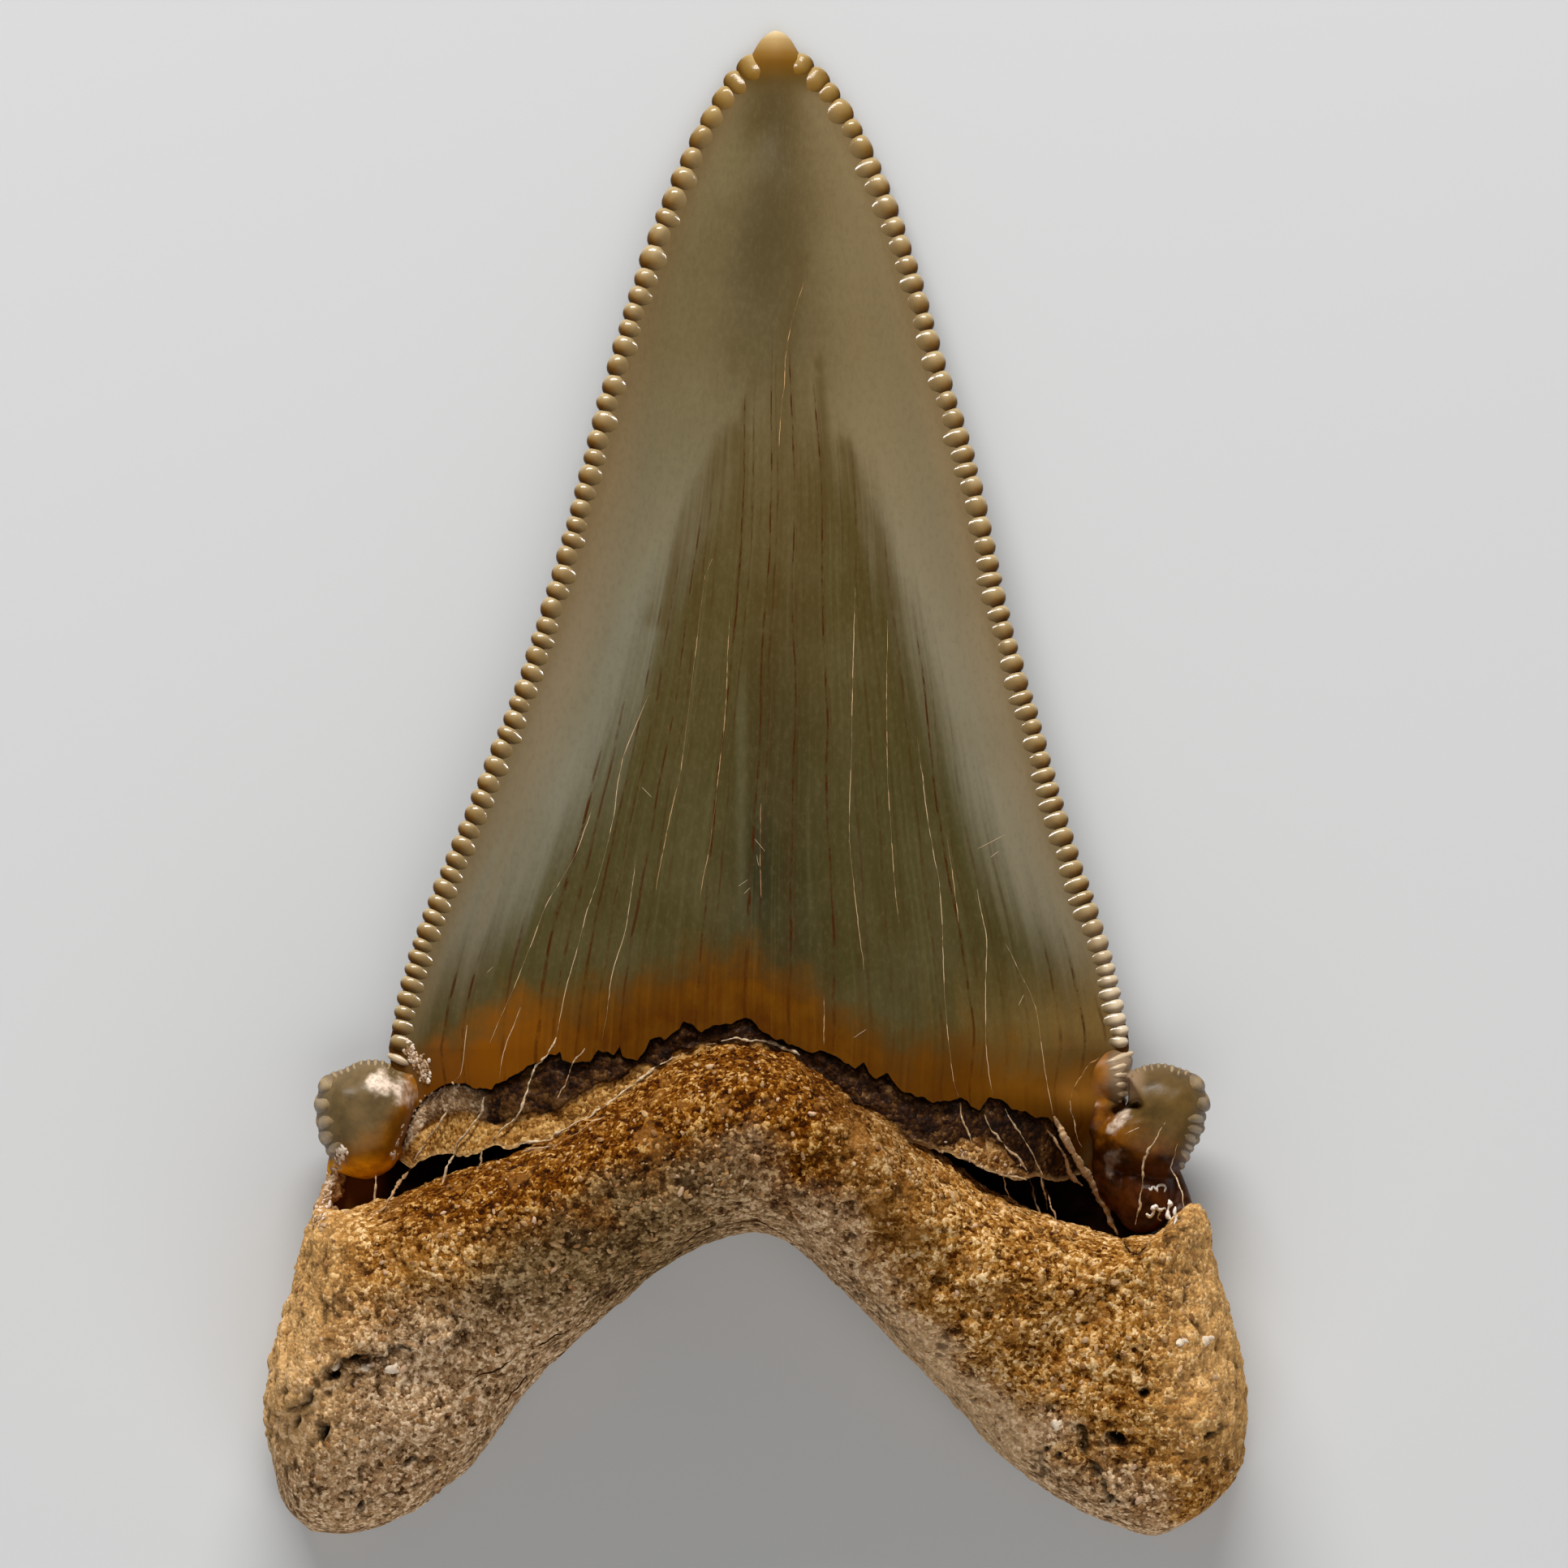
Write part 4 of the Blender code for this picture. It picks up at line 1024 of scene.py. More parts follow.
def make_left_cusplet():
    """The domed left side cusp, with a painted pale highlight and its amber foot."""
    bodies = [
        dome(LEFT_CUSP),
        blob(-16.1, -14.3, 2.1, 1.4, 1.6, 1.3, -50),
        blob(-18.0, -17.3, 2.5, 1.5, 0.95, 1.6, 12),
        *chain([(-19.5, -17.3, 2.7, 0.45), (-19.75, -18.0, 2.5, 0.35), (-19.8, -18.6, 2.4, 0.35)]),
    ]
    places, faces = skinned(bodies, *CUSP_SKIN)
    places = carved(places, [(-16.75, -13.15), (-16.3, -13.35)], 0.2, 0.7)
    places[:, 2] += 0.025 * fractal(places, 1.3, SEED + 80) * (places[:, 2] > 2.5)
    # Painted highlight: a pale streak along this line on the cusp's dome
    lit = [(-17.75, -13.95), (-16.95, -14.25), (-16.35, -14.75)]
    x, y = places[:, 0], places[:, 1]
    masks = {
        "warm": -above_line(x, y, LEFT_WARM_LINE) + 0.3 * fractal(places, 1.0, SEED + 83),
        "deep": -above_line(x, y, LEFT_DEEP_LINE),
        "shine": near_line(places, lit, 0.68, 0.3, SEED + 81),
        "glow": np.zeros(len(places)),
        "grey": np.zeros(len(places)),
    }
    return new_mesh_object("left_cusplet", places, faces, masks)


def make_right_cusplet():
    """The right side cusp, the small one beside it and the dark wall below them."""
    bodies = [
        dome(RIGHT_CUSP),
        dome(MINOR_CUSP, 2.2),
        blob(15.9, -15.7, 2.7, 1.4, 1.2, 1.2, -20),
        blob(14.8, -14.1, 2.4, 2.4, 2.0, 1.42, -30),
        *chain([(17.5, -15.55, 4.1, 0.5), (17.0, -15.95, 4.1, 0.5), (16.4, -16.5, 3.6, 0.45)]),
        blob(17.3, -17.0, 2.7, 1.7, 1.3, 1.7),
        blob(16.6, -18.4, 2.3, 1.0, 1.9, 1.3, 20),
        blob(18.1, -19.2, 2.4, 1.55, 1.9, 1.7),
        *chain([(19.5, -18.3, 2.5, 0.35), (19.7, -19.2, 2.6, 0.5), (19.9, -20.2, 3.0, 0.6)], 6),
    ]
    places, faces = skinned(bodies, *CUSP_SKIN)
    places = carved(places, [(17.75, -15.1), (17.25, -15.22), (16.8, -15.35)], 0.16, 1.5)
    places = carved(places, [(15.15, -14.9), (15.05, -15.9), (15.3, -17.0)], 0.12, 0.15)
    places[:, 2] += 0.03 * fractal(places, 1.3, SEED + 85) * (places[:, 2] > 2.5)
    x, y = places[:, 0], places[:, 1]
    places[:, 2] += 0.09 * eased(-17.0, -18.5, y) * fractal(places, 0.8, SEED + 86, 3)
    # Painted highlights: a pale streak along the ridge below the small cusp, and a faint pale patch on
    # the wall below, partly painted highlight
    shine = near_line(places, [(17.3, -15.45), (16.95, -15.8), (16.5, -16.3)], 0.24, 0.16, SEED + 87)
    dull_shine = near_line(places, [(16.9, -17.2), (16.4, -17.9)], 0.3, 0.35, SEED + 88)
    warm, deep = (-above_line(x, y, line) for line in (RIGHT_WARM_LINE, RIGHT_DEEP_LINE))
    amber_side = 3.5 * eased(16.9, 16.0, x) * eased(-15.6, -14.8, y) - 1.5
    dark_side = 2.0 * eased(16.4, 15.3, x) * eased(-14.6, -15.6, y) - 1.0
    masks = {
        # Painted glow: the amber side of the small cusp is lightened as if lit from within
        "glow": np.clip(amber_side, 0, 1) * (places[:, 2] > 2.5),
        "warm": np.maximum(warm, amber_side) + 0.3 * fractal(places, 1.0, SEED + 89),
        "deep": np.maximum(deep, dark_side) + 0.35 * fractal(places, 0.9, SEED + 90),
        "shine": np.maximum(0.8 * shine, 0.16 * dull_shine),
        "grey": eased(1.25, 0.3, np.hypot(x - 17.2, 0.7 * (y + 13.6))),
    }
    return new_mesh_object("right_cusplet", places, faces, masks)


def surface_of(*objects):
    """Trees that give the height of these bodies under a plan place."""
    graph = bpy.context.evaluated_depsgraph_get()
    return [BVHTree.FromObject(made, graph) for made in objects]


def cast(tree, x, y, side=1):
    """Place and slant of a body where it is met from above, or with side -1 from below."""
    return tree.ray_cast(Vector((x * MM, y * MM, side * RAY_START)), Vector((0, 0, -side)))[:2]


def heights(places, trees):
    """Greatest height of these bodies at each plan place."""
    found = []
    for x, y in places:
        hits = [cast(tree, x, y)[0] for tree in trees]
        found.append(max([0.0] + [hit.z / MM for hit in hits if hit]))
    return np.array(found)


def levels_at(x, y, tree):
    """Heights of a body's upper and lower sides at a plan place, or None beside it."""
    top, bottom = (cast(tree, x, y, side)[0] for side in (1, -1))
    return (top.z / MM, bottom.z / MM) if top and bottom else None


class Heap:
    """Many small bodies that become one mesh, with a value for every key at each vertex."""

    def __init__(self, *keys):
        self.keys, self.count = keys, 0
        self.vertices, self.faces, self.values = [], [], []

    def put_in(self, vertices, faces, values=()):
        self.faces.extend(tuple(i + self.count for i in face) for face in faces)
        self.vertices.append(vertices)
        self.values.append(np.broadcast_to(values, (len(vertices), len(self.keys))))
        self.count += len(vertices)

    def made(self, name, **more):
        values = np.vstack(self.values)
        masks = {key: values[:, k] for k, key in enumerate(self.keys)}
        return new_mesh_object(name, np.vstack(self.vertices), self.faces, masks, **more)


class Knobs(Heap):
    """Closed knobs, each with its outer end at a margin and its inner end in a body."""

    RINGS = 12
    SIDES = 16

    def __init__(self):
        super().__init__("side", "reach", "tone", "down")

    def add(self, place, inward, length, half_width, lift, tree, half_height, point, tone):
        """One knob. It is left out where it would lie wholly beside the body."""
        place, inward = np.array(place, float), np.array(inward, float) / np.linalg.norm(inward)
        tangent = np.array([-inward[1], inward[0]])
        if tangent[1] < 0:
            tangent = -tangent
        a = -np.cos(np.pi * (np.arange(self.RINGS) + 0.5) / self.RINGS)
        spine = place + inward * ((a + 1) / 2 * length)[:, None]
        found = [levels_at(x, y, tree) for x, y in spine]
        known = [i for i, pair in enumerate(found) if pair]
        if not known:
            return
        levels = np.array([found[min(known, key=lambda k: abs(k - i))] for i in range(len(found))])
        outer, inner = np.clip(-a, 0, 1), np.clip(a, 0, 1)
        base = levels[0].mean()
        rise = lift * (1 - inner**1.5) - BEAD_SINK * inner**2
        top = np.maximum(levels[:, 0] + rise, base + half_height * (1 - inner))
        bottom = np.minimum(levels[:, 1] - rise, base - half_height * (1 - inner))
        middle = (top + bottom) / 2
        tall = (top - bottom) / 2 * (1 - outer**3.2) ** 0.5
        wide = half_width * np.where(a < 0, (1 - outer**point) ** 0.5, np.sqrt(1 - 0.88 * inner**1.6))
        angle = 2 * np.pi * np.arange(self.SIDES) / self.SIDES
        across, up = fuller(np.cos(angle), 0.85), fuller(np.sin(angle), 0.8)
        plan = spine[:, None, :] + tangent * (wide[:, None] * across)[:, :, None]
        z = middle[:, None] + tall[:, None] * up
        rings = np.concatenate([plan, z[:, :, None]], axis=2)
        vertices, faces = loft(rings, (*place, middle[0]), (*(place + inward * length), middle[-1]))
        vertices[:, 2] = np.maximum(vertices[:, 2], FLOOR_GAP)
        side = np.append(np.broadcast_to(across, z.shape).ravel(), [0, 0])
        reach = np.append(np.broadcast_to((a[:, None] + 1) / 2, z.shape).ravel(), [0, 1])
        masks = [side, reach, np.full(len(side), tone), LEFT_EDGE[0][1] - vertices[:, 1]]
        vertices = vertices + BEAD_ROUGHNESS * tossed(vertices, 9.7, 0.5, SEED + 95, 2)
        self.put_in(vertices, faces, np.column_stack(masks))


def make_serrations(tree):
    """The rounded serrations of both cutting edges."""
    knobs = Knobs()
    edges = [(LEFT_PATH, LEFT_NOTCHES, 1, -0.12, 1), (RIGHT_PATH, RIGHT_NOTCHES, -1, 0.0, 2)]
    for path, notches, turn, sway, seed in edges:
        for k, (a, b) in enumerate(zip(notches, notches[1:])):
            along = (a + b) / 2
            cell = np.array([[k, seed, 5], [k, seed, 6], [k, seed, 7]])
            tone, long, high = lattice(cell, SEED)
            heading = path.heading(along)
            inward = turn * np.array([-heading[1], heading[0]]) + np.array([0, sway])
            place = path.at(along)
            lower = eased(-10.0, -12.2, place[1]) if turn < 0 else 0.0
            length = BEAD_LENGTH * (1 + 0.12 * long) * (1 - 0.2 * lower)
            out = place - inward / np.linalg.norm(inward) * 0.03 * high
            low = 0.3 * eased(9.0, 1.5, along)
            lift, half_height = BEAD_LIFT * (1 + 0.25 * high - low), BEAD_HALF_HEIGHT * (1 - low)
            paleness = 0.5 + 0.5 * tone
            knobs.add(out, inward, length, 0.6 * (b - a), lift, tree, half_height, BEAD_POINT, paleness)
    return knobs.made("serrations")


def cusp_knobs(knobs, cusp, tree, seed, paleness):
    """Knobs along the free margin of a side cusp: fine ridges on top, round beads on its outer side."""
    path = Path(cusp["free"])
    sizes = np.array(cusp["ridges"], float)
    ends = np.concatenate([[0.0], np.cumsum(sizes * path.length / sizes.sum())])
    middle = np.array(cusp["middle"])
    for k, (a, b) in enumerate(zip(ends, ends[1:])):
        tone, long = lattice(np.array([[k, seed, 8], [k, seed, 9]]), SEED)
        place = path.at((a + b) / 2)
        inward = middle - place
        inward = inward / np.linalg.norm(inward)
        big = eased(0.42, 0.55, b - a)
        length = (0.42 + 0.5 * big) * (1 + 0.25 * long)
        wide = (0.42 + 0.16 * big) * (b - a)
        out = place - (0.04 + 0.03 * big) * inward
        knobs.add(out, inward, length, wide, 0.04 + 0.07 * big, tree, 0.25, 2.2, paleness + 0.12 * tone)


def make_cusp_knobs(left_tree, right_tree, crown_tree):
    """The ridges and beads of all side cusps."""
    knobs = Knobs()
    cusp_knobs(knobs, LEFT_CUSP, left_tree, 11, 0.6)
    cusp_knobs(knobs, RIGHT_CUSP, right_tree, 12, 0.25)
    for (x, y), inward, length, half_width in MINOR_RIDGES:
        knobs.add((x, y), inward, length, half_width, 0.1, right_tree, 0.22, 2.4, 1.0)
    knobs.add((-17.25, -12.7), (0.9, -0.42), 1.3, 0.24, 0.14, crown_tree, 0.3, 2.4, 1.0)
    return knobs.made("cusplet_serrations")


def crumbs(line, count, size, spread, rng):
    """Small irregular bodies scattered along a line of (x, y, z)."""
    made = []
    for place in spline_at(line, rng.uniform(0, len(line) - 1.001, count)):
        x, y, z = place + rng.normal(0, 1, 3) * np.array([spread, spread, 0.5 * spread])
        rx, ry, rz = size * rng.uniform(0.5, 1.5, 3)
        made.append(blob(x, y, z, rx, ry, 0.8 * rz, rng.uniform(0, 180)))
    return made


def make_crust():
    """The crusted wall that joins the left cusplet to the root."""
    bodies = chain([(-19.6, -17.6, 2.6, 0.3), (-19.8, -18.4, 2.6, 0.24), (-20.0, -19.0, 2.8, 0.3),
                    (-20.3, -19.8, 3.1, 0.36), (-20.4, -20.7, 4.2, 0.34)], 7)
    line = [(-19.4, -18.2, 2.5), (-19.6, -18.9, 2.6), (-19.9, -19.5, 2.8), (-20.1, -20.3, 3.5)]
    bodies += crumbs(line, 90, 0.12, 0.15, np.random.default_rng(SEED))
    places, faces = skinned(bodies, *CRUST_SKIN)
    places += 0.06 * tossed(places, 5.3, 0.4, SEED + 110, 3)
    tone = 0.5 * eased(0.0, 0.6, fractal(places, 0.5, SEED + 115, 3))
    return new_mesh_object("mineral_crust", places, faces, {"tone": tone})


class Chips(Heap):
    """Small irregular crumbs and crystals, each sitting in a surface."""

    SIDES = 7
    LOWEST = 2.2
    STEEPEST = 0.3

    def __init__(self, trees, seed):
        super().__init__("tone")
        self.trees, self.rng = trees, np.random.default_rng(seed)

    def drop(self, x, y, size, tone, tall=0.5, long=1.5):
        """One chip at a plan place, but none beside the bodies, on steep sides or near the floor."""
        turn, rough = self.rng.uniform(0, math.pi), self.rng.uniform(0.7, 1.25, (3, self.SIDES))
        stretch = self.rng.uniform(1.0, 2 * long - 1)
        hits = [hit for hit in (cast(tree, x, y) for tree in self.trees) if hit[0]]
        if not hits:
            return
        place, normal = max(hits, key=lambda hit: hit[0].z)
        if place.z < self.LOWEST * MM or normal.z < self.STEEPEST:
            return
        normal, base = np.array(normal), np.array(place) / MM
        first = np.cross(normal, [math.cos(turn), math.sin(turn), 0.0])
        first /= np.linalg.norm(first)
        second = np.cross(normal, first)
        angle = 2 * np.pi * np.arange(self.SIDES) / self.SIDES
        rings = []
        for (height, wide), ring in zip(((-0.4, 0.9), (0.25 * tall, 1.0), (tall, 0.62)), rough):
            flat = first * stretch * (np.cos(angle) * ring)[:, None]
            flat = flat + second * (np.sin(angle) * ring)[:, None]
            rings.append(base + normal * size * height + size * wide * flat)
        self.put_in(*loft(rings, base - normal * size * 0.7, base + normal * size * (tall + 0.1)), tone)

    def scatter(self, line, count, spread, sizes, tones, **more):
        """Chips along a plan line."""
        places = spline_at(line, self.rng.uniform(0, len(line) - 1.001, count))
        places += self.rng.normal(0, spread, (count, 2))
        for x, y in places:
            self.drop(x, y, self.rng.uniform(*sizes), self.rng.uniform(*tones), **more)


def make_grains(trees):
    """Cream crystals all over the root and a few white bits."""
    chips = Chips(trees, SEED + 1)
    rng = chips.rng
    for _ in range(GRAIN_TRIES):
        x, y = rng.uniform(-22.8, 22.8), rng.uniform(-35.1, -12.2)
        chips.drop(x, y, 0.045 + 0.1 * rng.uniform() ** 3, rng.uniform(0.0, 0.9))
    for x, y in WHITE_BITS:
        chips.drop(x, y, 0.2, 1.0)
        chips.drop(x + 0.2, y + 0.12, 0.12, 1.0)
    return chips.made("root_grains", sharp=40)


def make_chips(trees):
    """Crumbs of the pale crusts beside the left cusplet and on the bare dentine."""
    chips = Chips(trees, SEED + 2)
    chips.scatter(CORNER_CRUST, 190, 0.14, (0.035, 0.1), (0.25, 1.0), tall=0.8)
    chips.scatter(FLAP_EDGE, 60, 0.07, (0.04, 0.09), (0.5, 1.0))
    chips.scatter([(-16.95, -17.3), (-16.85, -17.6)], 14, 0.08, (0.07, 0.13), (0.8, 1.0))
    chips.scatter([(-19.45, -17.1), (-19.35, -17.35)], 12, 0.08, (0.07, 0.14), (0.85, 1.0))
    chips.scatter(WALL_CRUST, 190, 0.15, (0.03, 0.1), (0.1, 1.0))
    right_foot = [(8.9, -17.2), (10.2, -17.6), (11.6, -18.2), (12.6, -18.4)]
    chips.scatter(right_foot, 60, 0.3, (0.03, 0.08), (0.1, 0.75))
    return chips.made("crust_chips", sharp=40)


def wandering(points, spacing, amount, seed):
    """A broken line through points that wanders a little to both sides."""
    path = Path(points, smooth=len(points) > 2)
    count = max(4, int(path.length / spacing))
    along = np.linspace(0, path.length, count)
    places = path.at(along)
    heading = path.heading(along)
    flat = np.column_stack([places[:, :2], np.full(count, seed * 3.7)])
    side = np.column_stack([-heading[:, 1], heading[:, 0]])
    calm = np.minimum(1, np.minimum(along, path.length - along) / 0.5)
    drift = fractal(flat, 1.1, seed) + 0.5 * bumps(flat, 0.3, seed)
    places[:, :2] += side * (amount * calm * drift)[:, None]
    return places, along / path.length


class Threads(Heap):
    """Thin closed strands with a flat cross section."""

    SIDES = 6

    def __init__(self):
        super().__init__("tone")

    def add(self, places, width, height, tone=0.5):
        """One strand through places (x, y, z), with a width and a height at each of them or all along."""
        places = np.asarray(places, float)
        count = len(places)
        ahead = np.gradient(places[:, :2], axis=0)
        ahead /= np.maximum(np.linalg.norm(ahead, axis=1, keepdims=True), 1e-9)
        side = np.column_stack([-ahead[:, 1], ahead[:, 0], np.zeros(count)])
        angle = 2 * np.pi * np.arange(self.SIDES) / self.SIDES
        half, tall = ((np.asarray(size) / 2 * np.ones(count))[:, None, None] for size in (width, height))
        rings = places[:, None, :] + side[:, None, :] * np.cos(angle)[None, :, None] * half
        rings = rings + np.array([0, 0, 1.0]) * np.sin(angle)[None, :, None] * tall
        faces = ring_faces(count, self.SIDES)
        faces.append(tuple(range(self.SIDES)))
        faces.append(tuple(range((count - 1) * self.SIDES, count * self.SIDES)))
        self.put_in(rings.reshape(-1, 3), faces, tone)


def taper(share, steepness):
    """1 along a line, down to 0 at both of its ends."""
    return np.minimum(1, np.minimum(share, 1 - share) * steepness)


def make_cracks(trees):
    """Pale hairline cracks and short scratches in the enamel."""
    threads = Threads()
    for k, line in enumerate(CRACKS):
        places, share = wandering(line, 0.07, 0.022, SEED + 100 + k)
        flat = np.column_stack([places, heights(places, trees)])
        dashes = eased(-0.35, 0.25, bumps(flat, 0.9, k) + 0.6 * bumps(flat, 0.25, k + 50))
        width = (0.008 + 0.03 * dashes) * (0.3 + 0.7 * taper(share, 8))
        flat[:, 2] += CRACK_LIFT
        threads.add(flat, width, CRACK_HEIGHT, 0.05 + 0.5 * eased(-2, -12, places[-1, 1]))
    for k, line in enumerate(SCRATCHES):
        places, share = wandering(line, 0.05, 0.01, SEED + 150 + k)
        flat = np.column_stack([places, heights(places, trees) + CRACK_LIFT])
        threads.add(flat, 0.017 * (0.4 + 0.6 * taper(share, 4)), CRACK_HEIGHT, 0.8)
    return threads.made("enamel_cracks")


def make_root_cracks(trees):
    """Dark hairline cracks in the root."""
    threads = Threads()
    for k, line in enumerate(ROOT_CRACKS):
        places, share = wandering(line, 0.1, 0.12, SEED + 400 + k)
        z = heights(places, trees)
        flat, share = np.column_stack([places, z])[z > 2.5], share[z > 2.5]
        width = 0.09 * eased(-0.5, 0.2, bumps(flat, 0.7, k)) * taper(share, 6) + 0.015
        threads.add(flat + np.array([0, 0, 0.01]), width, 0.05)
    return threads.made("root_cracks")


def make_veins(lines, trees, name, seed, broken=0.0):
    """Pale mineral veins that lie on the bodies and span the hollows between them."""
    threads = Threads()
    for k, (width, height, line, tone) in enumerate(lines):
        places, share = wandering(line, 0.06, 0.09, seed + k)
        z = heights(places, trees)
        held = [z[max(0, i - VEIN_SPAN) : i + VEIN_SPAN + 1].max() for i in range(len(z))]
        held = np.pad(held, VEIN_CALM // 2, mode="edge")
        bridged = np.convolve(held, np.ones(VEIN_CALM) / VEIN_CALM, mode="valid") - VEIN_SAG
        flat = np.column_stack([places, np.maximum(z, bridged)])
        rough = np.clip(0.16 / width, 0.25, 1.0)
        swollen = 1.0 + 0.65 * rough * bumps(flat, 0.35, seed + k)
        swollen = swollen + 0.5 * rough * bumps(flat, 0.12, seed + k)
        flat[:, 2] -= 0.15 * width
        thin = 0.35 + 0.65 * taper(share, 7)
        thin = thin * (1 - broken * eased(0.25, -0.15, bumps(flat, 0.8, seed + k)))
        threads.add(flat, width * swollen * thin, np.minimum(height, 1.1 * width) * swollen * thin, tone)
    return threads.made(name)


# Materials
def srgb(red, green, blue):
    """A colour from its 0 to 255 screen values."""
    def linear(value):
        value /= 255
        return value / 12.92 if value <= 0.04045 else ((value + 0.055) / 1.055) ** 2.4
    return (linear(red), linear(green), linear(blue), 1.0)


def put(socket, value):
    """Feed an input from another node, or set it to a number or to a colour of three screen values."""
    if isinstance(value, Wire):
        socket.id_data.links.new(value.socket, socket)
    elif socket.type == "RGBA":
        socket.default_value = srgb(*value)
    else:
        socket.default_value = value


class Wire:
    """What comes out of a shader node. A sum or product of wires is a Math node."""

    def __init__(self, socket):
        self.socket = socket

    def into(self, kind, inputs, output=0, **settings):
        """What comes out of a new node of the same material, with these inputs."""
        made = self.socket.id_data.nodes.new(kind)
        for key, value in settings.items():
            setattr(made, key, value)
        for key, value in inputs.items():
            put(made.inputs[key], value)
        return Wire(made.outputs[output])

    def math(self, operation, first, second=0.0):
        return self.into("ShaderNodeMath", {0: first, 1: second}, operation=operation)

    def __add__(self, other):
        return self.math("ADD", self, other)

    def __sub__(self, other):
        return self.math("SUBTRACT", self, other)

    def __rsub__(self, other):
        return self.math("SUBTRACT", other, self)

    def __mul__(self, other):
        return self.math("MULTIPLY", self, other)

    def __truediv__(self, other):
        return self.math("DIVIDE", self, other)

    def __pow__(self, other):
        return self.math("POWER", self, other)

    def __abs__(self):
        return self.math("ABSOLUTE", self)


def scaled(vector, factors):
    return vector.into("ShaderNodeVectorMath", {0: vector, 1: factors}, operation="MULTIPLY")


def axis(vector, name):
    """One coordinate of a place."""
    return vector.into("ShaderNodeSeparateXYZ", {0: vector}, name)


def noise(vector, scale, detail=2.0, roughness=0.5, output="Fac"):
    inputs = {"Vector": vector, "Scale": scale, "Detail": detail, "Roughness": roughness}
    return vector.into("ShaderNodeTexNoise", inputs, output)


def cell_pattern(vector, inputs, **settings):
    """Distance from the middle of each irregular cell, and a random value for the cell."""
    distance = vector.into("ShaderNodeTexVoronoi", inputs, "Distance", **settings)
    tint = Wire(distance.socket.node.outputs["Color"])
    return distance, tint.into("ShaderNodeSeparateColor", {0: tint})


def grain_pattern(vector, scale):
    """A fleck value from 0 to 1, different in each irregular grain, and the grains' height."""
    shift = scaled(noise(vector, scale * 1.3, output="Color"), (0.5 / scale,) * 3)
    warped = vector.into("ShaderNodeVectorMath", {0: vector, 1: shift}, operation="ADD")
    distance, value = cell_pattern(warped, {"Vector": warped, "Scale": scale})
    _, fine_value = cell_pattern(warped, {"Vector": warped, "Scale": scale * 2.1})
    fleck = value * 0.42 + fine_value * 0.2 + noise(vector, scale * 0.35, 4, 0.6) * 0.38
    return fleck, fleck - distance * 0.55


def step(value, low, high, to_low=0.0, to_high=1.0):
    """A smooth step of value from low to high."""
    inputs = {"Value": value, "From Min": low, "From Max": high, "To Min": to_low, "To Max": to_high}
    return value.into("ShaderNodeMapRange", inputs, "Result", interpolation_type="SMOOTHSTEP")


def banded(value, stops):
    """A colour ramp over a value, from stops of a place and a colour."""
    made = value.into("ShaderNodeValToRGB", {"Fac": value})
    band = made.socket.node.color_ramp
    while len(band.elements) < len(stops):
        band.elements.new(0.5)
    for element, (place, colour) in zip(band.elements, stops):
        element.position = place
        element.color = colour
    return made


def ramp(value, *stops):
    """Colours over a value, from stops of a place and three screen values."""
    return banded(value, [(place, srgb(*colour)) for place, *colour in stops])


def curve(value, table):
    """Numbers over a value, from places and numbers."""
    return banded(value, [(place, (number, number, number, 1)) for place, number in table])


def mix(factor, a, b):
    """a where the factor is 0, and b where it is 1."""
    return factor.into("ShaderNodeMixRGB", {"Fac": factor, "Color1": a, "Color2": b}, blend_type="MIX")


def layered(colour, *layers):
    """A colour under layers of (value, where it begins, where it is full, strength, tint)."""
    for value, start, full, strength, tint in layers:
        colour = mix(step(value, start, full, 0.0, strength), colour, tint)
    return colour


class Surface:
    """A material that is worked out from the place on the tooth and from values in the mesh."""

    def __init__(self, name, **inputs):
        self.material = bpy.data.materials.new(name)
        self.material.use_nodes = True
        self.nodes = self.material.node_tree.nodes
        self.set(**inputs)
        coordinates = Wire(self.nodes.new("ShaderNodeTexCoord").outputs["Object"])
        self.place = scaled(coordinates, (1 / MM, 1 / MM, 1 / MM))

    def set(self, **inputs):
        """Set inputs of the shader."""
        for key, value in inputs.items():
            put(self.nodes["Principled BSDF"].inputs[key.replace("_", " ")], value)

    def value(self, name):
        """A value that the mesh holds at each corner."""
        made = self.nodes.new("ShaderNodeAttribute")
        made.attribute_name = name
        return Wire(made.outputs["Fac"])

    def values(self, *names):
        return [self.value(name) for name in names]

    def bump(self, height, distance):
        inputs = {"Height": height, "Distance": distance * MM}
        self.set(Normal=height.into("ShaderNodeBump", inputs, "Normal"))


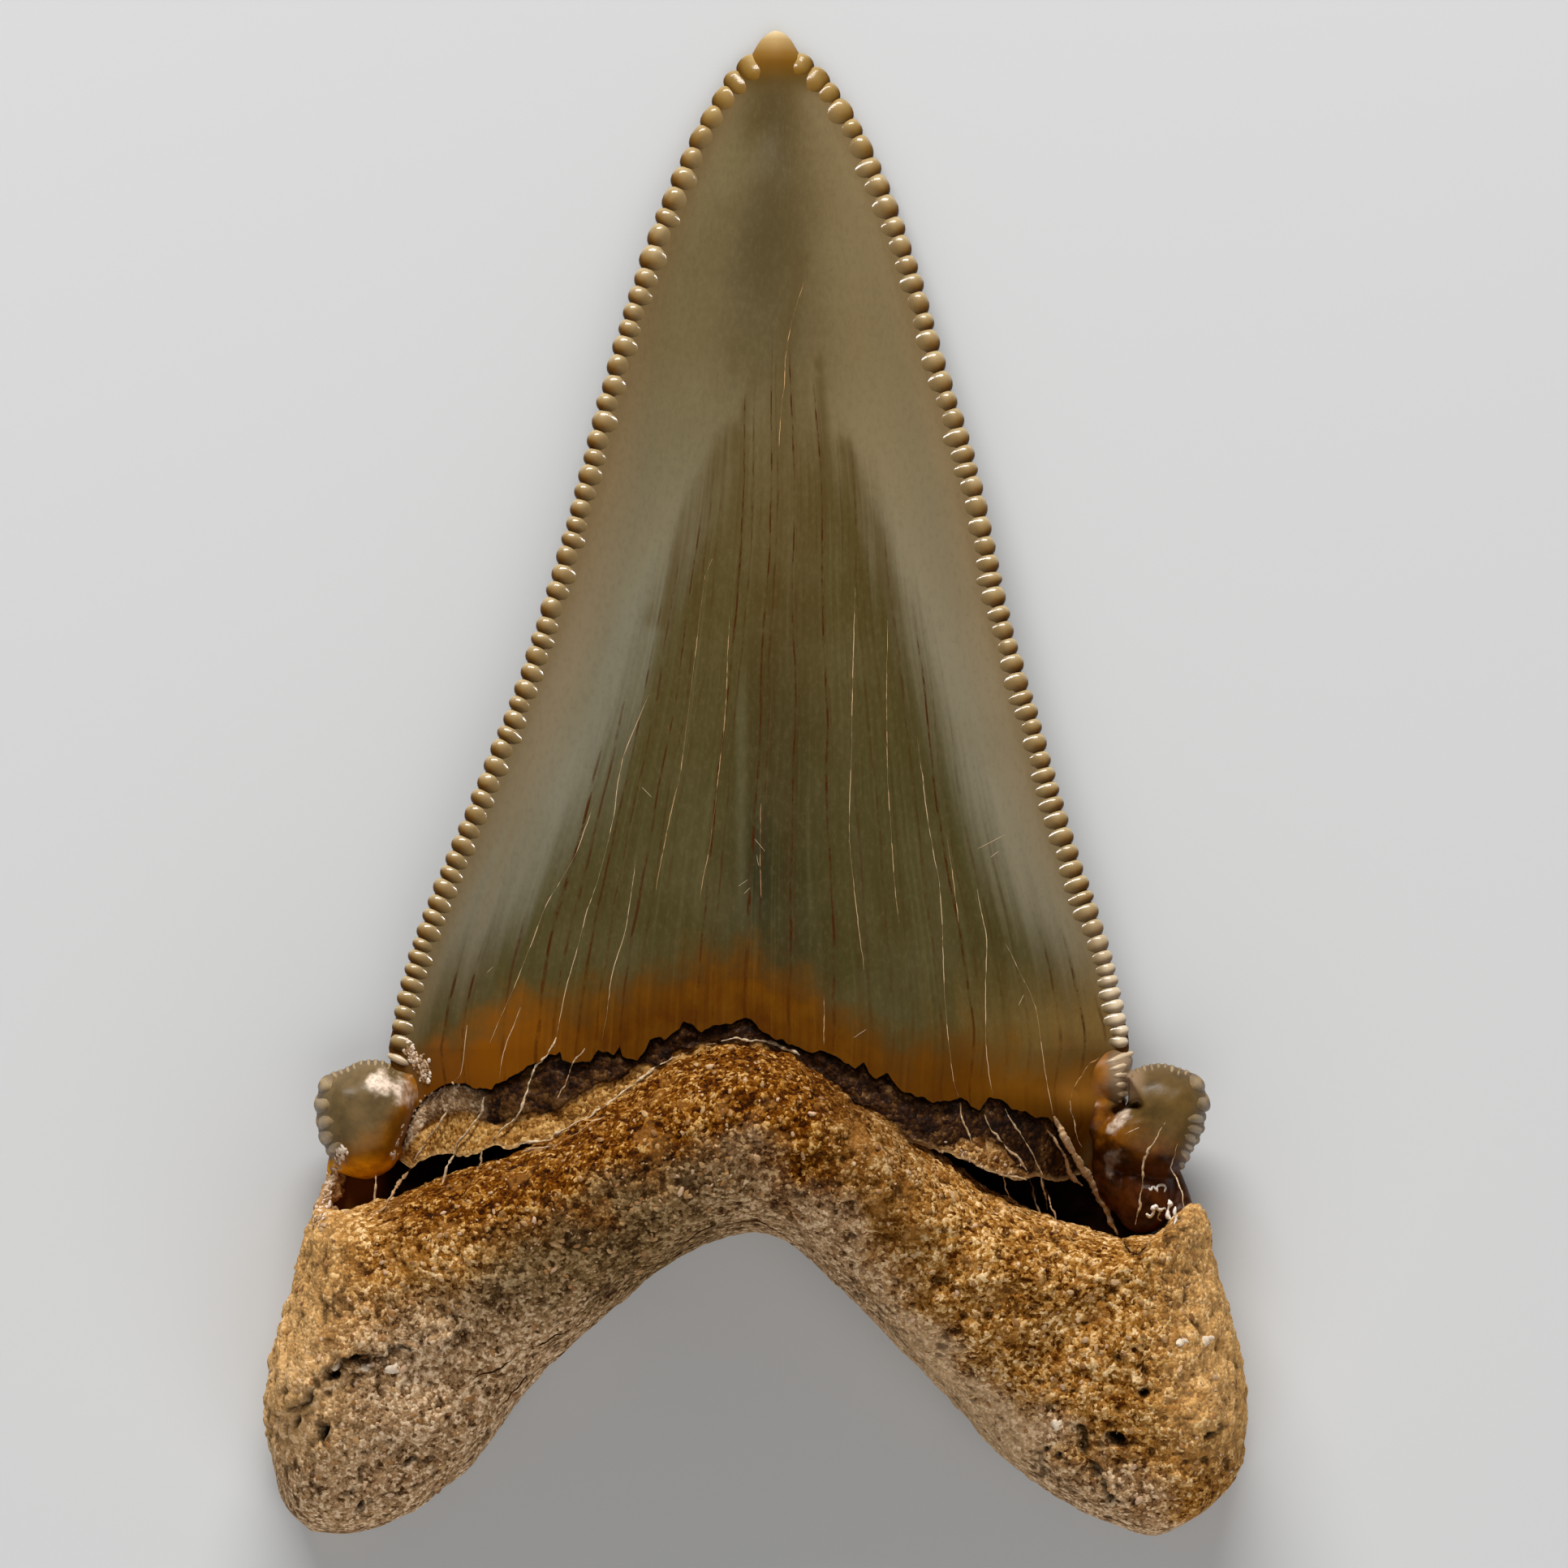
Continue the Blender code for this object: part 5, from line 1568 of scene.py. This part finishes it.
def enamel_material():
    """Pale margins, an olive core with dark hairs, an amber band over the root and gold at the tip."""
    made = Surface("enamel", Specular_IOR_Level=0.06)
    down, across, edge = made.values("down", "across", "edge")
    place = made.place
    x, y = axis(place, "X"), axis(place, "Y")
    long = down / RAMP_LENGTH
    fan = down.into("ShaderNodeCombineXYZ", {0: across * FAN_WIDTH, 1: down})

    def fanned(wide, tall, detail=4, roughness=0.6):
        """Noise that runs down the crown and spreads with it."""
        return noise(scaled(fan, (wide, tall, 1.0)), 1.0, detail, roughness)

    soft = noise(place, 0.22, 3)
    streaks = fanned(0.9, 0.035)
    thin_streaks = fanned(3.0, 0.06)

    # Pale margins on both sides of the core
    half = abs(across - CORE_MIDDLE)
    inside = curve(long, CORE_REACH) - half + (streaks - 0.5) * 0.16
    lateral = ramp(long, (0.0, 84, 62, 24), (0.1, 72, 56, 28), (0.22, 92, 77, 48), (0.42, 127, 108, 80),
                   (0.62, 129, 116, 93), (0.8, 114, 105, 84), (1.0, 96, 80, 50))
    cool = ramp(long, (0.3, 104, 92, 62), (0.5, 114, 107, 85), (0.72, 117, 115, 98), (0.9, 92, 84, 58))
    lateral = layered(lateral, (half, 0.44, 0.34, 1.0, cool), (edge, 2.4, 1.0, 0.4, (108, 90, 62)))
    halo = step(inside, -0.13, -0.02, 0.0, 0.75) * step(down, 20.0, 30.0) * step(down, 46.0, 41.0)
    lateral = mix(halo, lateral, (120, 119, 104))
    centre = ramp(long, (0.05, 64, 48, 10), (0.2, 66, 55, 26), (0.36, 76, 64, 36))
    wide = half + (soft - 0.5) * 0.3
    upper = layered(lateral, (wide, 0.4, 0.02, 0.95, centre))
    upper = layered(upper, (down, 13.0, 24.0, 1.0, lateral))
    upper = mix(step(across, 0.45, 0.8, 0.02, 0.24), upper, (166, 142, 104))
    upper = layered(upper, (across, 0.3, 0.1, 0.2, (92, 74, 44)))

    # Dark core: a tall triangle with a streaky border
    olive = ramp(long, (0.3, 90, 74, 40), (0.5, 74, 62, 28), (0.72, 68, 61, 30), (0.9, 66, 58, 26))
    middle = ramp(long, (0.4, 84, 67, 32), (0.65, 60, 49, 20), (0.85, 48, 44, 20))
    olive = layered(
        olive, (half, 0.12, 0.01, 0.85, middle), (thin_streaks, 0.5, 0.34, 0.22, (58, 34, 6)),
        (thin_streaks, 0.52, 0.7, 0.2, (104, 96, 64)),
        (fanned(0.8, 0.08), 0.45, 0.72, 0.16, (92, 84, 58)),
    )
    # Painted light: the pale stripe left of the middle is a painted highlight along a shallow crease, and
    # the dark stripe beside it is painted shade
    painted_crease_highlight = step(abs(x + 0.7), 0.45, 0.0, 0.0, 0.24) * (step(y, 7.0, 3.0) * step(y, -8.0, -4.0))
    olive = mix(painted_crease_highlight, olive, (112, 108, 80))
    painted_crease_shade = step(abs(x - 0.1), 1.0, 0.0, 0.0, 0.5) * (step(y, 0.5, -3.0) * step(y, -8.5, -5.0))
    olive = mix(painted_crease_shade, olive, (30, 36, 22))
    core = step(inside, -0.09, 0.05) * step(down, 13.0, 22.0)
    colour = mix(core, upper, olive)
    corner = step(across + (streaks - 0.5) * 0.3, 0.7, 0.98) * step(down, 42.5, 47.5, 0.0, 0.9)
    colour = mix(corner, colour, (122, 93, 46))
    mottle = noise(scaled(place, (5.0, 2.5, 1.0)), 1.0, 3, 0.7)
    colour = layered(
        colour, (soft, 0.4, 0.75, 0.2, (104, 94, 66)), (mottle, 0.45, 0.8, 0.12, (132, 116, 84)),
        (mottle, 0.55, 0.25, 0.14, (58, 44, 20)),
    )
    colour = mix(made.value("wisp") * step(streaks, 0.3, 0.6, 0.35, 0.8), colour, (74, 58, 24))

    # Dark hairs that run down the core
    sway = fanned(0.3, 0.09, 3, 0.5) * 1.1
    lines = {"W": across * HAIR_COUNT + sway, "Scale": 1.0}
    line_gap, line_value = cell_pattern(down, lines, voronoi_dimensions="1D")
    hair = step(line_gap, 0.1, 0.03) * step(line_value, 0.1, 0.9, 0.25, 1.0)
    hair = hair * step(fanned(2.0, 0.7, 4, 0.75), 0.42, 0.58, 0.15, 1.0) * step(inside, -0.05, 0.0)
    hair = hair * step(down, 12.5, 16.5)
    colour = mix(hair, colour, (62, 30, 4))

    # Amber band over the root
    clouds = fanned(0.5, 0.45, 4, 0.65)
    amber_in = down - (AMBER_FOOT - curve(across, AMBER_RISE) * AMBER_HEIGHT)
    amber_in = amber_in + (streaks * 1.2 + clouds * 4.5 - 2.85)
    amber = ramp(clouds, (0.3, 78, 38, 0), (0.5, 92, 52, 0), (0.72, 106, 64, 4))
    amber = layered(
        amber, (thin_streaks, 0.56, 0.3, 0.35, (62, 24, 0)),
        (thin_streaks, 0.55, 0.75, 0.3, (142, 92, 26)), (amber_in, 2.8, 6.5, 0.45, (64, 28, 0)),
        (across, 0.55, 0.75, 0.4, (76, 42, 0)),
    )
    bright = step(across, 0.76, 0.86) * step(amber_in, 3.5, 0.5, 0.0, 0.7)
    amber = layered(mix(bright, amber, (124, 78, 16)), (across, 0.3, 0.12, 0.8, (124, 70, 6)))
    amber = mix(hair * 0.6, amber, (60, 24, 0))
    spot = ((x - AMBER_SPOT[0]) ** 2.0 + (y - AMBER_SPOT[1]) ** 2.0) ** 0.5

    # Brown in the gaps between the serrations, partly amber colour and partly painted shade; gold at the
    # tip
    colour = layered(
        colour, (amber_in, -1.8, 0.6, 0.35, (86, 62, 20)), (amber_in, -1.3, 2.1, 1.0, amber),
        (spot, 1.7, 0.2, 0.7, (150, 98, 32)), (edge, 1.6, 0.9, 0.4, (104, 82, 50)),
    )
    # Painted shade: the blade's edge between the beads is darkened to brown, with some amber colour
    colour = mix(step(edge, 0.85, 0.5) * step(down, 1.2, 2.6), colour, (80, 46, 8))
    golden = ramp(down / 4.0, (0.0, 214, 192, 150), (0.1, 170, 140, 90), (0.26, 130, 94, 38),
                  (0.36, 106, 70, 12), (0.6, 80, 60, 22))
    colour = layered(colour, (down, 3.4, 1.9, 1.0, golden))
    made.set(Base_Color=colour, Roughness=step(soft, 0.3, 0.7, 0.5, 0.4))
    made.bump(fanned(3.0, 0.5), 0.012)
    return made.material


def serration_material():
    """Beads painted lighter on their side towards the tip and darker towards the notch below them as
    painted shade, fading into the blade at their inner end.
    """
    made = Surface("serration_enamel")
    side, reach, tone, down = made.values("side", "reach", "tone", "down")
    soft = noise(made.place, 1.4, 2)
    # Painted light: each bead is lighter on its side towards the tip, which faces the key light, and
    # darker on its side towards the root as painted shade, partly amber
    lit = side * 0.5 + soft * 0.3 + 0.35
    colour = ramp(lit, (0.06, 58, 28, 0), (0.28, 100, 66, 22), (0.5, 140, 112, 68), (0.85, 180, 158, 116))
    golden = ramp(lit, (0.06, 84, 52, 8), (0.4, 128, 98, 46), (0.85, 166, 138, 86))
    colour = layered(colour, (down, 9.0, 2.0, 1.0, golden), (tone, 0.0, 1.0, 0.2, (112, 84, 44)))
    # The lowest beads on the right are paler and whitest on their side towards the tip: partly their
    # colour and partly a painted highlight
    corner = step(down, 40.0, 46.5) * step(lit, 0.2, 0.6, 0.3, 0.9)
    corner = corner * step(axis(made.place, "X"), -10.0, 10.0)
    colour = mix(corner, colour, (224, 204, 174))
    blade = layered((112, 92, 58), (down, 5.0, 1.5, 1.0, (118, 84, 26)))
    glint = step(side, -0.25, 0.2, 0.06, 0.75) * step(down, 1.0, 9.0, 0.35, 1.0)
    made.set(Base_Color=layered(colour, (reach, 0.3, 0.75, 0.95, blade)), Specular_IOR_Level=glint,
             Roughness=step(soft, 0.3, 0.7, 0.15, 0.22))
    made.bump(noise(made.place, 5.0), 0.01)
    return made.material


def cusp_serration_material():
    """Ridges of the side cusps, each as pale as its own tone."""
    made = Surface("cusp_serration_enamel", Specular_IOR_Level=0.5)
    side, reach, tone = made.values("side", "reach", "tone")
    soft = noise(made.place, 2.0, 3)
    # Painted shade: each ridge is lighter along its crest and darker on its flanks, towards the gaps
    # between ridges
    ridge = (1.0 - abs(side)) * 0.6 + soft * 0.5
    dull = ramp(ridge, (0.2, 52, 32, 10), (0.5, 92, 68, 34), (0.9, 124, 100, 62))
    clear = ramp(ridge, (0.15, 70, 46, 18), (0.45, 122, 98, 62), (0.8, 160, 136, 98))
    colour = layered(
        dull, (tone, 0.0, 0.45, 1.0, clear), (tone, 0.72, 0.95, 0.85, (206, 182, 150)),
        (reach, 0.4, 0.95, 0.85, (106, 86, 54)),
    )
    made.set(Base_Color=colour, Roughness=step(soft, 0.3, 0.7, 0.22, 0.34))
    made.bump(soft, 0.02)
    return made.material


def dentine_material():
    """Tan grains below a dark layer, with a painted black shadow under the enamel's rim."""
    made = Surface("bare_dentine", Specular_IOR_Level=0.12)
    dark, rim, border = made.values("dark", "rim", "border")
    x = axis(made.place, "X")
    fleck, height = grain_pattern(made.place, 5.0)
    patches = noise(made.place, 0.8, 3, 0.6)
    tan = ramp(fleck, (0.26, 104, 62, 14), (0.42, 160, 110, 46), (0.55, 186, 136, 68),
               (0.74, 220, 178, 112))
    brown = ramp(fleck, (0.3, 84, 46, 8), (0.5, 144, 96, 40), (0.68, 216, 172, 112))
    tan = layered(tan, (x, 6.0, 9.0, 1.0, brown))
    shade = ramp(fleck * 0.5 + patches * 0.5, (0.34, 18, 5, 0), (0.48, 44, 20, 2), (0.58, 72, 42, 12),
                 (0.7, 116, 84, 46))
    shell = ramp(fleck, (0.26, 120, 88, 56), (0.5, 172, 138, 100), (0.7, 222, 198, 166))
    shade = layered(shade, (x, -12.4, -13.6, 1.0, shell))
    shade = mix(step(x, -6.0, -9.0) * step(patches, 0.5, 0.62, 0.0, 0.6), shade, (92, 60, 24))
    colour = layered(
        tan, (dark, -0.08, 0.08, 1.0, shade), (border, 0.3, 0.0, 0.7, (190, 152, 100)),
        # Painted shadow: black just below the enamel's rim
        (rim, 0.16, 0.04, 1.0, (10, 3, 1)),
    )
    made.set(Base_Color=colour, Roughness=step(fleck, 0.3, 0.7, 0.7, 0.4))
    made.bump(height, 0.12)
    return made.material


def root_material():
    """Orange brown on the crown side and grey tan on the notch side, with dark pits."""
    made = Surface("root", Roughness=0.9, Specular_IOR_Level=0.05)
    zone, pit, relief, crumb, dusk, lobe = made.values("zone", "pit", "relief", "crumb", "dusky", "lobe")
    place = made.place
    x, y = axis(place, "X"), axis(place, "Y")
    fleck, height = grain_pattern(place, 5.4)
    broad = zone + (noise(place, 0.28, 3, 0.6) - 0.5) * step(x, -12.0, -8.0, 4.0, 8.0)
    crown_side = step(broad, -1.2, 1.8)
    fleck = fleck + (relief - 0.5) * 0.2 + (noise(place, 0.9, 3, 0.6) - 0.5) * 0.3 + crumb * 0.12
    dusky = ramp(fleck, (0.24, 36, 10, 0), (0.42, 84, 40, 0), (0.55, 112, 62, 4), (0.66, 148, 96, 28),
                 (0.8, 204, 162, 98))
    orange = ramp(fleck, (0.24, 70, 30, 0), (0.42, 138, 88, 28), (0.55, 172, 120, 54),
                  (0.66, 204, 158, 94), (0.8, 240, 206, 156))
    grey = ramp(fleck, (0.24, 62, 40, 14), (0.42, 104, 78, 44), (0.55, 128, 100, 62), (0.7, 166, 138, 98))
    tan = ramp(fleck, (0.22, 84, 54, 26), (0.4, 154, 120, 84), (0.55, 184, 148, 108),
               (0.7, 232, 202, 166))
    cool = layered(grey, (x, -6.0, 5.0, 1.0, tan))
    colour = mix(crown_side, cool, mix(dusk, orange, dusky))
    colour = mix(lobe * step(crown_side, 1.0, 0.0, 0.45, 1.0), colour, tan)
    outer = step(abs(x), 17.5, 22.0, 0.0, 0.6) * step(y, -33.5, -28.5)
    colour = mix(outer, colour, (226, 178, 114))
    slope = step(x, 2.0, 4.5) * step(x, 10.0, 6.5) * step(crown_side, 0.5, 1.0, 0.0, 0.45)
    colour = mix(slope, colour, (78, 44, 8))
    notch = step(x, 4.0, 7.0) * step(x, 15.0, 11.0) * step(crown_side, 0.5, 0.0, 0.0, 0.45)
    colour = mix(notch, colour, (212, 176, 132))
    blotch = step(noise(place, 0.75), 0.58, 0.66, 0.0, 0.45)
    colour = mix(blotch * crown_side, colour, (158, 106, 48))
    # Painted shade: the low spots of the relief, in pores and between grains, are darkened
    colour = layered(colour, (relief, 0.38, 0.02, 0.6, (40, 17, 4)))
    made.set(Base_Color=mix(pit, colour, (12, 5, 2)))
    made.bump(height, 0.14)
    return made.material


def grain_material():
    """Cream to white crystals."""
    made = Surface("root_grain", Roughness=0.5, Specular_IOR_Level=0.35)
    fine = noise(made.place, 5.0)
    colour = ramp(made.value("tone"), (0.0, 120, 76, 28), (0.35, 156, 112, 58), (0.7, 186, 148, 98),
                  (0.9, 206, 172, 142), (1.0, 222, 204, 180))
    made.set(Base_Color=layered(colour, (fine, 0.3, 0.7, 0.3, (120, 76, 34))))
    made.bump(fine, 0.03)
    return made.material


def dark_crack_material():
    made = Surface("root_crack", Roughness=0.9, Specular_IOR_Level=0.05)
    made.set(Base_Color=ramp(noise(made.place, 1.5), (0.35, 26, 10, 2), (0.65, 64, 36, 14)))
    return made.material


def crack_material():
    """Tan to cream filling of the enamel's cracks."""
    made = Surface("crack_mineral", Roughness=0.6)
    colour = ramp(noise(made.place, 1.6, 3, 0.7), (0.35, 128, 86, 36), (0.65, 196, 154, 98))
    made.set(Base_Color=mix(made.value("tone"), colour, (214, 190, 156)))
    return made.material


def chip_material():
    made = Surface("mineral_chips", Roughness=0.6, Specular_IOR_Level=0.3)
    fine = noise(made.place, 6.0, 3, 0.6)
    colour = ramp(made.value("tone"), (0.1, 110, 72, 34), (0.45, 168, 132, 92), (0.8, 216, 190, 162),
                  (1.0, 240, 228, 214))
    made.set(Base_Color=layered(colour, (fine, 0.5, 0.3, 0.5, (136, 92, 56))))
    made.bump(fine, 0.03)
    return made.material


def hollow_material():
    """Floor of the hollows painted nearly black as shade, with brown dentine at its left end."""
    made = Surface("hollow_shade_and_dentine", Roughness=0.9, Specular_IOR_Level=0.05)
    grit = noise(made.place, 1.8, 4, 0.6)
    # Painted shade: nearly black where the hollows lie in shadow
    colour = ramp(grit, (0.4, 8, 1, 0), (0.62, 20, 5, 1), (0.8, 44, 18, 5))
    made.set(Base_Color=layered(colour, (axis(made.place, "X"), -17.0, -18.2, 0.9, (104, 58, 22))))
    made.bump(grit, 0.1)
    return made.material


def cusp_material(name, body, warm, deep):
    """The enamel of a side cusp, with the lower and upper colours of its warm and its deep part."""
    made = Surface(name, Specular_IOR_Level=0.14)
    warm_in, deep_in, shine, grey, glow = made.values("warm", "deep", "shine", "grey", "glow")
    soft = noise(made.place, 0.9, 4, 0.6)
    fine = noise(made.place, 4.0, 3, 0.6)
    colour = ramp(soft, (0.3, *[c * 0.8 for c in body]), (0.7, *[c * 1.15 for c in body]))
    warm, deep = (ramp(soft, (0.35, *low), (0.65, *high)) for low, high in (warm, deep))
    colour = layered(colour, (warm_in, -1.1, 1.1, 1.0, warm), (deep_in, -0.3, 0.5, 1.0, deep))
    # Painted glow: a lighter amber where the glow mask is
    colour = mix(glow * 0.45, colour, (156, 102, 34))
    colour = mix(grey, colour, (142, 118, 92))
    # Painted highlight: pale pinkish streaks where the shine mask is
    pale = ramp(fine, (0.3, 192, 166, 142), (0.6, 236, 216, 196))
    colour = mix(shine * step(fine, 0.3, 0.6, 0.6, 0.95), colour, pale)
    made.set(Base_Color=colour, Roughness=step(soft, 0.3, 0.7, 0.3, 0.42))
    made.bump(noise(made.place, 2.5, 3), 0.02)
    return made.material


def mineral_material():
    """Veins and crusts from dull tan to white, by their tone."""
    made = Surface("mineral", Roughness=0.8)
    grit = noise(made.place, 6.0, 3, 0.6)
    tone = made.value("tone")
    dull = ramp(noise(made.place, 2.2, 3, 0.7), (0.36, 104, 60, 16), (0.6, 176, 130, 72))
    pale = ramp(grit, (0.3, 164, 130, 86), (0.6, 230, 212, 180))
    pale = layered(pale, (tone, 0.96, 1.0, 1.0, (244, 240, 232)))
    made.set(Base_Color=layered(dull, (tone, 0.1, 0.95, 0.85, pale)))
    made.bump(grit, 0.04)
    return made.material


def floor_material():
    made = Surface("floor", Roughness=0.7)
    made.set(Base_Color=ramp(noise(made.place, 0.004), (0.3, 196, 198, 200), (0.7, 204, 206, 208)))
    return made.material


# Build
crown = make_crown()
dentine = make_dentine()
root = make_root()
hollow = make_hollow_floor()
left_cusplet, right_cusplet = make_left_cusplet(), make_right_cusplet()
crown_tree, left_tree, right_tree = surface_of(crown, left_cusplet, right_cusplet)
serrations = make_serrations(crown_tree)
cusp_serrations = make_cusp_knobs(left_tree, right_tree, crown_tree)
crust = make_crust()
chips = make_chips(surface_of(crown, left_cusplet, dentine, crust, root))
cracks = make_cracks([crown_tree])
grains = make_grains(surface_of(root))
root_cracks = make_root_cracks(surface_of(root))
ground = surface_of(dentine, root, hollow, crown, left_cusplet, right_cusplet)
veins = make_veins(VEINS, ground, "hollow_veins", SEED + 200)
lip_veins = make_veins(LIP_VEINS, ground, "lip_veins", SEED + 300, 0.65)

left_warm, left_deep = ((118, 72, 4), (156, 98, 12)), ((178, 108, 0), (250, 172, 10))
right_warm, right_deep = ((84, 44, 2), (134, 80, 14)), ((34, 13, 0), (82, 38, 4))
left_look = cusp_material("left_cusplet_enamel", (104, 85, 54), left_warm, left_deep)
right_look = cusp_material("right_cusplet_enamel", (94, 72, 36), right_warm, right_deep)
mineral = mineral_material()
looks = [
    (crown, "enamel", enamel_material()),
    (serrations, "enamel", serration_material()),
    (dentine, "bare_dentine", dentine_material()),
    (root, "root", root_material()),
    (hollow, "bare_dentine", hollow_material()),
    (left_cusplet, "enamel", left_look),
    (right_cusplet, "enamel", right_look),
    (cusp_serrations, "enamel", cusp_serration_material()),
    (crust, "mineral", mineral),
    (chips, "mineral", chip_material()),
    (grains, "root", grain_material()),
    (root_cracks, "root", dark_crack_material()),
    (cracks, "mineral", crack_material()),
    (veins, "mineral", mineral),
    (lip_veins, "mineral", mineral),
]
for piece, slot, material in looks:
    piece.data.materials.clear()
    piece.data.materials.append(material)
    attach(piece, "root")
    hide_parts("tooth")

# Stage, light and camera
FRAME_WIDTH = 73.416
FRAME_CENTRE = (1.273, -0.076)
CAMERA_HEIGHT = 1500.0

bm = bmesh.new()
bmesh.ops.create_grid(bm, x_segments=8, y_segments=8, size=1.5)
floor_mesh = bpy.data.meshes.new("floor")
bm.to_mesh(floor_mesh)
bm.free()
floor = bpy.data.objects.new("floor", floor_mesh)
bpy.context.scene.collection.objects.link(floor)
floor.data.materials.append(floor_material())


def add_light(name, place, size, power, colour, height=None):
    """An oval area light that faces the tooth."""
    data = bpy.data.lights.new(name, "AREA")
    data.shape = "ELLIPSE"
    data.size = size
    data.size_y = height or size
    data.energy = power
    data.color = colour
    made = bpy.data.objects.new(name, data)
    made.location = place
    made.rotation_euler = (-Vector(place)).to_track_quat("-Z", "Y").to_euler()
    bpy.context.scene.collection.objects.link(made)


add_light("key", (-0.05, 0.5, 0.3), 0.5, 5.0, (1.0, 0.98, 0.95), 0.14)
add_light("fill", (0.1, -0.6, 0.5), 1.3, 5.2, (1.0, 0.99, 0.97))

world = bpy.data.worlds.new("studio")
world.use_nodes = True
world.node_tree.nodes["Background"].inputs["Color"].default_value = (0.94, 0.93, 0.92, 1.0)
world.node_tree.nodes["Background"].inputs["Strength"].default_value = 0.13
bpy.context.scene.world = world
bpy.context.scene.view_settings.view_transform = "Standard"

camera_data = bpy.data.cameras.new("camera")
camera_data.sensor_width = 36.0
camera_data.lens = 36.0 * CAMERA_HEIGHT / FRAME_WIDTH
camera_data.clip_end = 20.0
camera = bpy.data.objects.new("camera", camera_data)
camera.location = (FRAME_CENTRE[0] * MM, FRAME_CENTRE[1] * MM, CAMERA_HEIGHT * MM)
bpy.context.scene.collection.objects.link(camera)
bpy.context.scene.camera = camera
